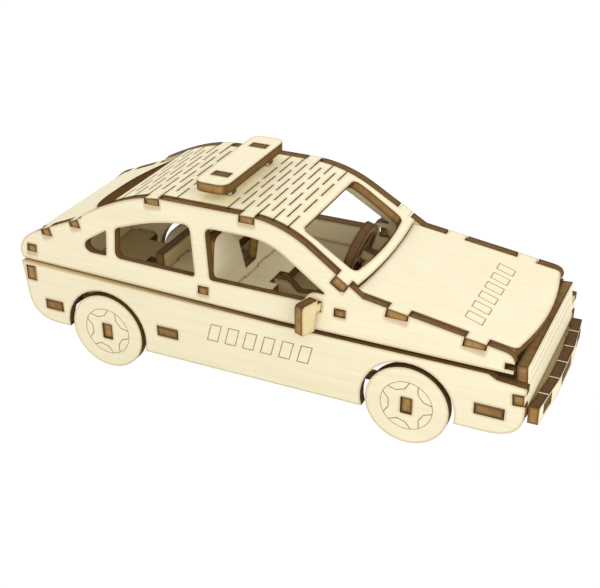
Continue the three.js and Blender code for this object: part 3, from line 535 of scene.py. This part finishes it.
BIRCH = Plywood(
    face=srgb(247, 238, 207),
    streak=srgb(240, 229, 193),
    fleck=srgb(206, 184, 136),
    end_edge=srgb(178, 138, 82),
    long_edge=srgb(116, 84, 41),
    glue_line=srgb(66, 45, 24),
)
# Painted shade: a darker copy of the birch for pieces inside and under the car, where shade falls.
BIRCH_PAINTED_SHADE = Plywood(
    face=srgb(228, 212, 170),
    streak=srgb(216, 197, 152),
    fleck=srgb(176, 150, 104),
    end_edge=srgb(156, 117, 66),
    long_edge=srgb(108, 79, 44),
    glue_line=srgb(62, 42, 23),
)
BIRCH_GOLDEN = replace(BIRCH, face=srgb(224, 208, 164), streak=srgb(215, 197, 150))
# Painted shade: darker long edges for the bumper, whose top edge lies in the shade of hood and
# grille.
BIRCH_BUMPER_EDGE_SHADE = replace(BIRCH, long_edge=srgb(94, 68, 38))
BIRCH_GRILLE = replace(BIRCH, long_edge=srgb(146, 112, 64))
BIRCH_SIDE = replace(BIRCH, fading=Band(-80.0 * MM, 30.0 * MM))
# Painted shade: a still darker copy of the birch for the floor, which lies in shade inside the car.
BIRCH_FLOOR_PAINTED_SHADE = replace(BIRCH_PAINTED_SHADE, face=srgb(200, 181, 138), streak=srgb(186, 165, 121))
BIRCH_SHADED = replace(
    BIRCH_PAINTED_SHADE,
    face=srgb(176, 155, 115),
    streak=srgb(160, 138, 99),
    end_edge=srgb(130, 99, 62),
    long_edge=srgb(108, 81, 50),
)
# Painted shade: darker side-facing edges for the floor's fingers, which lie in shade in the wheel
# arches.
BIRCH_SHADED_ENDS = replace(BIRCH_PAINTED_SHADE, end_edge=srgb(134, 96, 58))


@dataclass(frozen=True)
class DrawnLine:
    """Finish of a drawn line: two uneven tones, without shine."""

    name: str
    light: Colour
    dark: Colour
    noise: Noise = Noise(1400.0, 3.0)
    tone: Band = Band(0.3, 0.7)
    least_roughness: float = 0.7
    more_roughness: float = 0.2

    def material(self) -> bpy.types.Material:
        """Builds the material.

        Returns:
            A material whose tone varies with fine noise along the line.
        """
        material, graph = new_material(self.name)
        place = graph.out(graph.node("ShaderNodeTexCoord"), "Object")
        grain = graph.noise(place, self.noise)
        graph.finish_as_wood(
            {
                "Base Color": graph.mix(graph.ramp(grain, self.tone), self.light, self.dark),
                "Roughness": self.least_roughness + grain * self.more_roughness,
            }
        )
        return material


BURNT = DrawnLine("burnt_line", srgb(176, 158, 112), srgb(136, 113, 72))
# Painted light: pale strips that stand in for the light seen through the bumper's open kerfs.
PAINTED_KERF_LIGHT = DrawnLine("painted_kerf_light", srgb(238, 228, 202), srgb(214, 198, 162))


def section_quads(count: int, closed: bool) -> np.ndarray:
    """Faces of a four-cornered section carried through a number of places.

    Between two places each side of the section spans one quad, and an open run has an end cap on
    each end.

    Args:
        count: How many places.
        closed: Whether the last place joins the first.

    Returns:
        Rows of four vertex numbers, where place i has vertices 4 i to 4 i + 3.
    """
    rows = np.arange(count if closed else count - 1)
    here = 4 * rows[:, None] + np.arange(4)
    there = 4 * ((rows + 1) % count)[:, None] + np.arange(4)
    corners = [here, np.roll(here, -1, axis=1), np.roll(there, -1, axis=1), there]
    quads = np.stack(corners, axis=2).reshape(-1, 4)
    if closed:
        return quads
    caps = np.array([[3, 2, 1, 0], [0, 1, 2, 3]]) + [[0], [4 * (count - 1)]]
    return np.concatenate([quads, caps])


def along_car(
    x: np.ndarray, across: tuple[float, float], foot: np.ndarray, top: np.ndarray
) -> np.ndarray:
    """A rectangle carried along the car, with a foot and a top of its own at each place.

    Args:
        x: The places.
        across: The two ends of the rectangle across the car.
        foot: Height of its lower edge at each place.
        top: Height of its upper edge at each place.

    Returns:
        Vertices as x, y, z rows, four for each place.
    """
    y = np.repeat(np.array(across), 2)
    z = np.stack([foot, top, top, foot], axis=1)
    return np.stack(np.broadcast_arrays(x[:, None], y[None, :], z), axis=2).reshape(-1, 3)


def solid_piece(
    name: str, points: np.ndarray, quads: np.ndarray, body: str
) -> bpy.types.Object:
    """Makes a closed piece of points and quads, with its faces outwards.

    The sum over all faces of a corner times the face's normal has the sign of the volume; where it
    is negative, every face is turned round.

    Args:
        name: Name of the new piece.
        points: Vertices as x, y, z rows.
        quads: Faces as rows of four vertex numbers.
        body: The body that the piece moves with.

    Returns:
        The new piece, without a material.
    """
    corner = points[quads] - points.mean(axis=0)
    turned = np.cross(corner[:, 1] - corner[:, 0], corner[:, 2] - corner[:, 0])
    if np.sum(corner[:, 0] * turned) < 0.0:
        quads = quads[:, ::-1]
    mesh = bpy.data.meshes.new(name)
    mesh.from_pydata(points.tolist(), [], quads.tolist())
    piece = bpy.data.objects.new(name, mesh)
    bpy.context.scene.collection.objects.link(piece)
    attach(piece, body)
    log.info("made %s: %d faces", name, len(quads))
    return piece


@dataclass(frozen=True)
class Ground:
    """A flat place that lines are drawn on: a point of it and two directions along it."""

    origin: Vector
    along: Vector
    up: Vector

    def placed(self, drawn: np.ndarray) -> np.ndarray:
        """Carries drawn points onto the ground.

        Args:
            drawn: Points as (along, up, height) rows.

        Returns:
            Points as x, y, z rows: origin + along * a + up * b + (along x up) * height.
        """
        axes = np.array([self.along, self.up, self.along.cross(self.up)])
        return np.array(self.origin) + drawn @ axes


def outer_face(name: str, hand: Hand, x: float, z: float) -> Ground:
    """The outer face of an upright piece on one side of the car.

    Args:
        name: The piece, without its side.
        hand: The side.
        x: Where the ground's origin lies along the car.
        z: How high it lies.

    Returns:
        The ground, which runs to the right as it is seen from outside.
    """
    lo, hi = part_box(hand.of(name))
    y = lo.y if hand is Hand.RIGHT else hi.y
    return Ground(Vector((x, y, z)), -hand.value * Vector(ALONG_CAR), Vector(UPWARD))


@dataclass(frozen=True)
class Line:
    """A drawn line: its points as (along, up) rows, whether it closes, and its width."""

    path: np.ndarray
    closed: bool = False
    width: float = 0.3 * MM


class Engraver:
    """Draws lines as thin closed ribbons on a piece's face."""

    def __init__(self, proud: float = 0.02 * MM, least_side: float = 0.8) -> None:
        """Makes the lines' materials.

        Args:
            proud: How far a line lies proud of the face, and as far sunk in it.
            least_side: Least square of two summed side directions, which bounds a sharp mitre.
        """
        self.proud = proud
        self.least_side = least_side
        self.materials = {finish: finish.material() for finish in (BURNT, PAINTED_KERF_LIGHT)}

    def ribbon(self, line: Line) -> tuple[np.ndarray, np.ndarray]:
        """A rectangle carried along a line, its sides mitred at the corners.

        At each point the rectangle's width lies along the mean of the two neighbouring side
        directions, divided by the cosine of half the turn, so the line keeps its width.

        Args:
            line: The line.

        Returns:
            Vertices as (along, up, height) rows, and quads as rows of four vertex numbers.
        """
        path = line.path
        step = np.roll(path, -1, axis=0) - path
        if not line.closed:
            step[-1] = step[-2]
        step = step / np.linalg.norm(step, axis=1, keepdims=True)
        before = np.roll(step, 1, axis=0)
        if not line.closed:
            before[0] = step[0]
        side = np.stack([-step[:, 1] - before[:, 1], step[:, 0] + before[:, 0]], axis=1)
        square = np.sum(side * side, axis=1, keepdims=True)
        side = 2.0 * side / np.maximum(square, self.least_side)
        across = np.array([-0.5, 0.5, 0.5, -0.5]) * line.width
        height = np.array([-1.0, -1.0, 1.0, 1.0]) * self.proud
        flat = path[:, None, :] + across[None, :, None] * side[:, None, :]
        rise = np.broadcast_to(height, (len(path), 4))[:, :, None]
        points = np.concatenate([flat, rise], axis=2).reshape(-1, 3)
        return points, section_quads(len(path), line.closed)

    def engrave(
        self,
        name: str,
        lines: list[Line],
        ground: Ground,
        body: str = "car_body",
        slot: str = "ply_face",
        finish: DrawnLine = BURNT,
    ) -> None:
        """Makes one piece of all the lines of a face.

        Args:
            name: Name of the new piece.
            lines: The lines.
            ground: The face that they lie on.
            body: The body that the piece moves with.
            slot: Not used.
            finish: How the lines look.
        """
        ribbons = [self.ribbon(line) for line in lines]
        starts = np.cumsum([0] + [len(points) for points, _ in ribbons])
        points = ground.placed(np.concatenate([points for points, _ in ribbons]))
        quads = np.concatenate([quads + start for (_, quads), start in zip(ribbons, starts)])
        piece = solid_piece(name, points, quads, body)
        piece.data.materials.append(self.materials[finish])


def polar(radius: np.ndarray | float, degrees: np.ndarray) -> np.ndarray:
    """Points at given radii and angles about a centre, as (along, up) rows."""
    angle = np.radians(degrees)
    return np.stack([radius * np.cos(angle), radius * np.sin(angle)], axis=-1)


def level_lines(ends: np.ndarray, heights: np.ndarray, width: float) -> list[Line]:
    """Straight lines, each at a height of its own.

    Args:
        ends: Where each line starts and ends, as rows of two, or one row for all.
        heights: Height of each line.
        width: Width of the lines.

    Returns:
        Open lines, one for each height.
    """
    rows = np.stack(np.broadcast_arrays(ends, heights[:, None]), axis=2)
    return [Line(row, width=width) for row in rows]


@dataclass(frozen=True)
class BarRow:
    """A row of slanted outlined bars."""

    pitch: float
    height: float
    width: float
    slant: float = 1.5 * MM
    count: int = 6

    def lines(self) -> list[Line]:
        """The bars' outlines about the middle of the row.

        Each bar is a parallelogram: its foot is a base stretch of the row, its head the same
        stretch moved on by the slant.

        Returns:
            Closed lines, one for each bar.
        """
        wide, slant = self.width, self.slant
        corner_u = np.array([-wide - slant, wide - slant, wide + slant, -wide + slant]) / 2.0
        corner_v = np.array([-1.0, -1.0, 1.0, 1.0]) * self.height / 2.0
        centre = (np.arange(self.count) - (self.count - 1) / 2.0) * self.pitch
        rows = np.stack(np.broadcast_arrays(centre[:, None] + corner_u, corner_v), axis=2)
        return [Line(row, closed=True) for row in rows]


class SubAssembly:
    """A group of the car's pieces."""

    def build(self) -> None:
        """Makes the group's drawn lines and small pieces, where it has any."""

    def dress(self) -> None:
        """Gives each piece of the group its plywood."""
        raise NotImplementedError


@dataclass
class BodySides(SubAssembly):
    """Lower and upper side sheets, with a row of engraved bars on each lower one."""

    engraver: Engraver
    bars: BarRow = BarRow(pitch=5.9 * MM, height=5.6 * MM, width=3.4 * MM)
    bars_x: float = 0.05 * MM
    bars_z: float = 21.3 * MM

    def build(self) -> None:
        """Engraves the bars on the outer faces of both lower sides."""
        for hand in Hand:
            ground = outer_face("lower_side", hand, self.bars_x, self.bars_z)
            self.engraver.engrave(hand.of("door_bars"), self.bars.lines(), ground)

    def dress(self) -> None:
        """Gives the four side sheets their plywood."""
        for hand in Hand:
            BIRCH_SIDE.dress(hand.of("lower_side"), Sheet.SIDE, Grain.ALONG)
            BIRCH.dress(hand.of("upper_side"), Sheet.SIDE, Grain.ALONG)


@dataclass
class RoofAndDecks(SubAssembly):
    """Bent roof, hood and rear deck, with a row of engraved bars on the hood."""

    engraver: Engraver
    bars: BarRow = BarRow(pitch=6.2 * MM, height=5.4 * MM, width=3.6 * MM)
    bars_x: float = 60.7 * MM
    bars_y: float = -1.0 * MM
    hood_slope: float = math.radians(8.64)
    hood_start_x: float = 31.35 * MM
    hood_start_z: float = 42.2 * MM

    def build(self) -> None:
        """Engraves the bars on the hood's sloping top."""
        drop = (self.bars_x - self.hood_start_x) * math.tan(self.hood_slope)
        origin = Vector((self.bars_x, self.bars_y, self.hood_start_z - drop))
        up = Vector((-math.cos(self.hood_slope), 0.0, math.sin(self.hood_slope)))
        ground = Ground(origin, Vector(ACROSS_CAR), up)
        self.engraver.engrave("hood_bars", self.bars.lines(), ground)

    def dress(self) -> None:
        """Gives the three sheets their plywood."""
        BIRCH.dress("roof", Sheet.FLAT, Grain.ACROSS)
        BIRCH.dress("hood", Sheet.FLAT, Grain.ALONG)
        BIRCH.dress("rear_deck", Sheet.FLAT, Grain.ALONG)


@dataclass
class NoseAndTail(SubAssembly):
    """Grille panel with its fine engraved lines, front bumper with its kerfs, and tail panel."""

    engraver: Engraver
    lines: int = 3
    line_width: float = 0.16 * MM
    line_half_length: float = 23.5 * MM
    line_spacing: float = 2.6 * MM
    lowest_line: float = 6.4 * MM
    grille_lean: float = math.radians(4.0)
    kerf_pairs: int = 2
    kerf_spacing: float = 9.2 * MM
    kerf_width: float = 0.4 * MM
    kerf_inset: float = 0.02 * PLY
    bumper_bow: float = 1.5 * MM

    def build(self) -> None:
        """Draws the grille's lines and the bumper's kerfs."""
        self.grille_lines()
        self.kerfs()

    def grille_lines(self) -> None:
        """Engraves the level lines on the grille's front face, which leans back from its foot."""
        lo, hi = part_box("grille_panel")
        foot = Vector((hi.x, 0.0, lo.z + PLY * math.sin(self.grille_lean)))
        up = Vector((-math.sin(self.grille_lean), 0.0, math.cos(self.grille_lean)))
        ends = np.array([[-self.line_half_length, self.line_half_length]])
        heights = self.lowest_line + np.arange(self.lines) * self.line_spacing
        lines = level_lines(ends, heights, self.line_width)
        self.engraver.engrave("grille_lines", lines, Ground(foot, Vector(ACROSS_CAR), up))

    def kerfs(self) -> None:
        """Draws the kerfs as pale strips across the bumper's top, from its back to its front, as
        painted light that stands in for the light seen through the open cuts.

        The bumper is level as far as the first pair of kerfs and then straight back to its ends.
        """
        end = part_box("front_bumper")[1]
        y = np.arange(-self.kerf_pairs, self.kerf_pairs + 1) * self.kerf_spacing
        share = np.clip((end.y - np.abs(y)) / (end.y - self.kerf_spacing), 0.0, 1.0)
        front = end.x - self.bumper_bow * (1.0 - share)
        ends = np.stack([front - PLY + self.kerf_inset, front - self.kerf_inset], axis=1)
        lines = level_lines(ends, y, self.kerf_width)
        ground = Ground(end.z * Vector(UPWARD), Vector(ALONG_CAR), Vector(ACROSS_CAR))
        self.engraver.engrave("bumper_kerfs", lines, ground, finish=PAINTED_KERF_LIGHT)

    def dress(self) -> None:
        """Gives the three sheets their plywood."""
        # The bumper's top edge is painted dark as painted shade.
        BIRCH_BUMPER_EDGE_SHADE.dress("front_bumper", Sheet.CROSS, Grain.ACROSS)
        BIRCH_GRILLE.dress("grille_panel", Sheet.CROSS, Grain.ACROSS)
        BIRCH.dress("tail_panel", Sheet.CROSS, Grain.ACROSS)


@dataclass
class RunningGear(SubAssembly):
    """Axle bearers, axles and wheels, with a five-spoke figure engraved on each wheel."""

    engraver: Engraver
    ring_radius: float = 7.8 * MM
    ring_width: float = 0.2 * MM
    ring_steps: int = 96
    window_radius: float = 5.55 * MM
    windows: int = 5
    first_window: float = 39.0
    outer_reach: float = 26.5
    inner_reach: float = 14.0

    def wheel_lines(self) -> list[Line]:
        """A full ring, and in it five windows with spokes left between them.

        A window is cut off by a line from the ring in to a smaller radius, straight across and
        out to the ring again. Its corners lie at angles to both sides of its middle, in degrees.

        Returns:
            The ring as a closed line and each window's inner line as an open one.
        """
        around = np.linspace(0.0, FULL_TURN, self.ring_steps, endpoint=False)
        ring = polar(self.ring_radius, around)
        outer, inner = self.outer_reach, self.inner_reach
        corners = np.array([-outer, -inner, inner, outer])
        middles = self.first_window + FULL_TURN / self.windows * np.arange(self.windows)
        radii = np.repeat([self.ring_radius, self.window_radius, self.ring_radius], [1, 2, 1])
        windows = polar(radii, middles[:, None] + corners)
        return [Line(ring, closed=True, width=self.ring_width)] + [Line(path) for path in windows]

    def build(self) -> None:
        """Engraves the four wheels on their outer faces."""
        lines = self.wheel_lines()
        for axle in Axle:
            body = f"{axle.value}_axle_set"
            for hand in Hand:
                lo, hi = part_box(hand.of(f"{axle.value}_wheel"))
                middle = (lo + hi) / 2.0
                ground = outer_face(f"{axle.value}_wheel", hand, middle.x, middle.z)
                name = hand.of(f"{axle.value}_spokes")
                self.engraver.engrave(name, lines, ground, body, "wheel_face")

    def dress(self) -> None:
        """Gives wheels, axles and bearers their plywood."""
        for axle in Axle:
            BIRCH.dress(f"{axle.value}_axle", Sheet.CROSS, Grain.ACROSS)
            for hand in Hand:
                BIRCH.dress(hand.of(f"{axle.value}_wheel"), Sheet.SIDE, Grain.ALONG)
                # The bearers take the painted-shade copy of the birch.
                BIRCH_PAINTED_SHADE.dress(hand.of(f"axle_bearer_{axle.value}"), Sheet.SIDE, Grain.ALONG)


@dataclass
class Cabin(SubAssembly):
    """Floor with its fingers at the front wells, seats, dashboard, steering and centre console."""

    clearance: float = 0.3 * MM
    cushion_recess: float = 3.0 * MM
    console_fall: float = 3.3 * MM
    console_flat: float = 4.2 * MM
    console_fall_run: float = 4.6 * MM
    console_climb: float = 1.9 * MM
    console_steps: int = 64
    finger_span: tuple[float, float] = (31.3 * MM, 35.4 * MM)
    finger_depth: float = 1.2 * MM
    # Painted shade on the floor's front end between grille and bumper: how fast it rises and how
    # strong it is.
    painted_shade_rise: float = 1.5 * MM
    painted_shade_share: float = 0.35

    def build(self) -> None:
        """Makes the console and the floor's fingers."""
        self.console()
        self.fingers()

    def console(self) -> None:
        """Makes the console, an upright sheet from the front cushion's recess to the dashboard.

        Its section is a rectangle carried along the car. The top starts level with the cushion,
        falls along a smooth step, and climbs again evenly to the dashboard.
        """
        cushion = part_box("front_seat_cushion")[1]
        rear = cushion.x - self.cushion_recess + self.clearance
        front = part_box("dashboard")[0].x - self.clearance
        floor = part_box("floor_plate")[1].z
        x = np.linspace(rear, front, self.console_steps)
        falling = x - rear - self.console_flat
        step = np.clip(falling / self.console_fall_run, 0.0, 1.0)
        past = np.clip(falling - self.console_fall_run, 0.0, None)
        fall = self.console_fall * step * step * (3.0 - 2.0 * step)
        top = cushion.z + self.clearance - fall + self.console_climb * past / past.max()
        points = along_car(x, (-PLY / 2.0, PLY / 2.0), np.full_like(top, floor), top)
        quads = section_quads(len(x), closed=False)
        piece = solid_piece("centre_console", points, quads, "car_body")
        # The console takes the painted-shade copy of the birch.
        BIRCH_PAINTED_SHADE.cover(piece, Sheet.SIDE, Grain.ALONG)

    def fingers(self) -> None:
        """Makes a short finger of the floor beside each front wheel, a plain block."""
        lo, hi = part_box("floor_plate")
        x = np.array(self.finger_span)
        foot, top = np.full_like(x, lo.z), np.full_like(x, hi.z)
        quads = section_quads(len(x), closed=False)
        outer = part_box("lower_side_left")[0].y - self.clearance
        for hand in Hand:
            across = (hand.value * (outer - self.finger_depth), hand.value * outer)
            points = along_car(x, across, foot, top)
            piece = solid_piece(hand.of("well_corner"), points, quads, "car_body")
            # The finger's side-facing edges are painted dark as painted shade.
            BIRCH_SHADED_ENDS.cover(piece, Sheet.FLAT, Grain.ALONG)

    def dress(self) -> None:
        """Gives each piece of the cabin its plywood."""
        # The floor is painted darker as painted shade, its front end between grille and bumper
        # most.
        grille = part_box("grille_panel")[0].x
        painted_shade = Band(grille, grille + self.painted_shade_rise, self.painted_shade_share)
        replace(BIRCH_FLOOR_PAINTED_SHADE, painted_shade=painted_shade).dress("floor_plate", Sheet.FLAT, Grain.ALONG)
        BIRCH.dress("front_seat_cushion", Sheet.FLAT, Grain.ALONG)
        # The rear seat pieces, the risers and the steering column take the painted-shade copy of
        # the birch.
        BIRCH_PAINTED_SHADE.dress("rear_seat_cushion", Sheet.FLAT, Grain.ALONG)
        for name in ("front_seat_back", "dashboard"):
            BIRCH.dress(name, Sheet.CROSS, Grain.ACROSS)
        for name in ("front_seat_riser", "rear_seat_back", "rear_seat_riser"):
            BIRCH_PAINTED_SHADE.dress(name, Sheet.CROSS, Grain.ACROSS)
        BIRCH_PAINTED_SHADE.dress("steering_column", Sheet.SIDE, Grain.ALONG)
        BIRCH_SHADED.dress("steering_wheel", Sheet.CROSS, Grain.UPRIGHT)


class Trim(SubAssembly):
    """Wing mirrors and the light bar on its two legs."""

    def dress(self) -> None:
        """Gives each small piece its plywood."""
        for hand in Hand:
            BIRCH_GOLDEN.dress(hand.of("wing_mirror"), Sheet.CROSS, Grain.ACROSS)
            BIRCH.dress(hand.of("light_bar_leg"), Sheet.SIDE, Grain.ALONG)
        BIRCH.dress("light_bar", Sheet.FLAT, Grain.ACROSS)


@dataclass(frozen=True)
class Lamp:
    """A square soft lamp: where it hangs, its power in watts and the length of its side."""

    name: str
    at: Triple
    power: float
    size: float


@dataclass
class Studio:
    """Pale floor, soft lamps, white surroundings and the camera."""

    floor_half: float = 3.0
    floor_white: float = 0.86
    shadow_end: Band = Band(0.12, 0.45, 0.03)
    sky: float = 0.64
    backdrop: float = 1.04
    lamps: tuple[Lamp, ...] = (
        Lamp("front_lamp", (0.45, -0.38, 0.33), 3.4, 0.85),
        Lamp("back_lamp", (-0.3, 0.6, 0.45), 1.3, 0.6),
        Lamp("top_lamp", (-0.6, 0.1, 0.85), 1.1, 0.9),
    )
    lamps_aim: Triple = (0.0, 0.0, 0.03)
    camera_at: Triple = (0.12972, -0.28108, 0.19462)
    camera_back: Triple = (0.36690, -0.79398, 0.48476)
    camera_roll: float = math.radians(-0.264)
    lens: float = 67.82
    sensor: float = 36.0
    nearest: float = 0.01

    def floor(self) -> None:
        """Lays a pale floor that takes a soft shadow round the car and shows white further off."""
        reach = np.array([-1.0, 1.0]) * self.floor_half
        x, y = np.meshgrid(reach, reach)
        points = np.stack([x.ravel(), y.ravel(), np.zeros(4)], axis=1)
        mesh = bpy.data.meshes.new("floor")
        mesh.from_pydata(points.tolist(), [], [[0, 1, 3, 2]])
        material, graph = new_material("pale_floor")
        white = (self.floor_white, self.floor_white, self.floor_white, 1.0)
        matt = graph.node("ShaderNodeBsdfDiffuse", None, {"Color": white})
        sockets = {"Color": WHITE, "Strength": self.backdrop}
        glow = graph.node("ShaderNodeEmission", None, sockets)
        place = graph.out(graph.node("ShaderNodeTexCoord"), "Object")
        far = graph.ramp(graph.apart(place, (0.0, 0.0, 0.0)), self.shadow_end)
        share = graph.in_view() * (1.0 - self.shadow_end.share + far)
        sockets = {0: share, 1: graph.out(matt), 2: graph.out(glow)}
        both = graph.node("ShaderNodeMixShader", None, sockets)
        graph.node("ShaderNodeOutputMaterial", None, {"Surface": graph.out(both)})
        mesh.materials.append(material)
        floor = bpy.data.objects.new("floor", mesh)
        bpy.context.scene.collection.objects.link(floor)
        log.info("laid the floor")

    def surroundings(self) -> None:
        """Makes the world a soft even light that shows white behind the car."""
        world = bpy.data.worlds.new("white_room")
        world.use_nodes = True
        bpy.context.scene.world = world
        graph = Graph(world.node_tree)
        strength = self.sky + graph.in_view() * (self.backdrop - self.sky)
        light = graph.node("ShaderNodeBackground", None, {"Color": WHITE, "Strength": strength})
        graph.node("ShaderNodeOutputWorld", None, {"Surface": graph.out(light)})
        log.info("lit the room")

    def hang(self, lamp: Lamp) -> None:
        """Hangs one lamp so that it faces the car.

        Args:
            lamp: The lamp.
        """
        light = bpy.data.lights.new(lamp.name, "AREA")
        light.energy = lamp.power
        light.size = lamp.size
        holder = bpy.data.objects.new(lamp.name, light)
        holder.location = lamp.at
        aim = Vector(self.lamps_aim) - Vector(lamp.at)
        holder.rotation_euler = aim.to_track_quat("-Z", "Y").to_euler()
        bpy.context.scene.collection.objects.link(holder)
        log.info("hung %s", lamp.name)

    def camera(self) -> None:
        """Sets the camera at the photograph's angle, turned by its small roll."""
        back = Vector(self.camera_back).normalized()
        right = Vector(UPWARD).cross(back).normalized()
        up = back.cross(right)
        level = Matrix((right, up, back)).transposed()
        turn = level @ Matrix.Rotation(self.camera_roll, 3, "Z")
        data = bpy.data.cameras.new("camera")
        data.lens = self.lens
        data.sensor_width = self.sensor
        data.sensor_fit = "HORIZONTAL"
        data.clip_start = self.nearest
        camera = bpy.data.objects.new("camera", data)
        camera.matrix_world = Matrix.Translation(self.camera_at) @ turn.to_4x4()
        bpy.context.scene.collection.objects.link(camera)
        bpy.context.scene.camera = camera
        log.info("set the camera")

    def build(self) -> None:
        """Builds floor, surroundings, lamps and camera."""
        self.floor()
        self.surroundings()
        for lamp in self.lamps:
            self.hang(lamp)
        self.camera()
        bpy.context.scene.view_settings.view_transform = "Standard"


def main() -> None:
    """Builds and dresses the car's sub-assemblies in order, then the studio."""
    logging.basicConfig(level=logging.INFO, format="%(message)s")
    engraver = Engraver()
    parts = (
        BodySides(engraver),
        RoofAndDecks(engraver),
        NoseAndTail(engraver),
        RunningGear(engraver),
        Cabin(),
        Trim(),
    )
    for part in parts:
        part.build()
        part.dress()
    Studio().build()


if __name__ == "__main__":
    main()
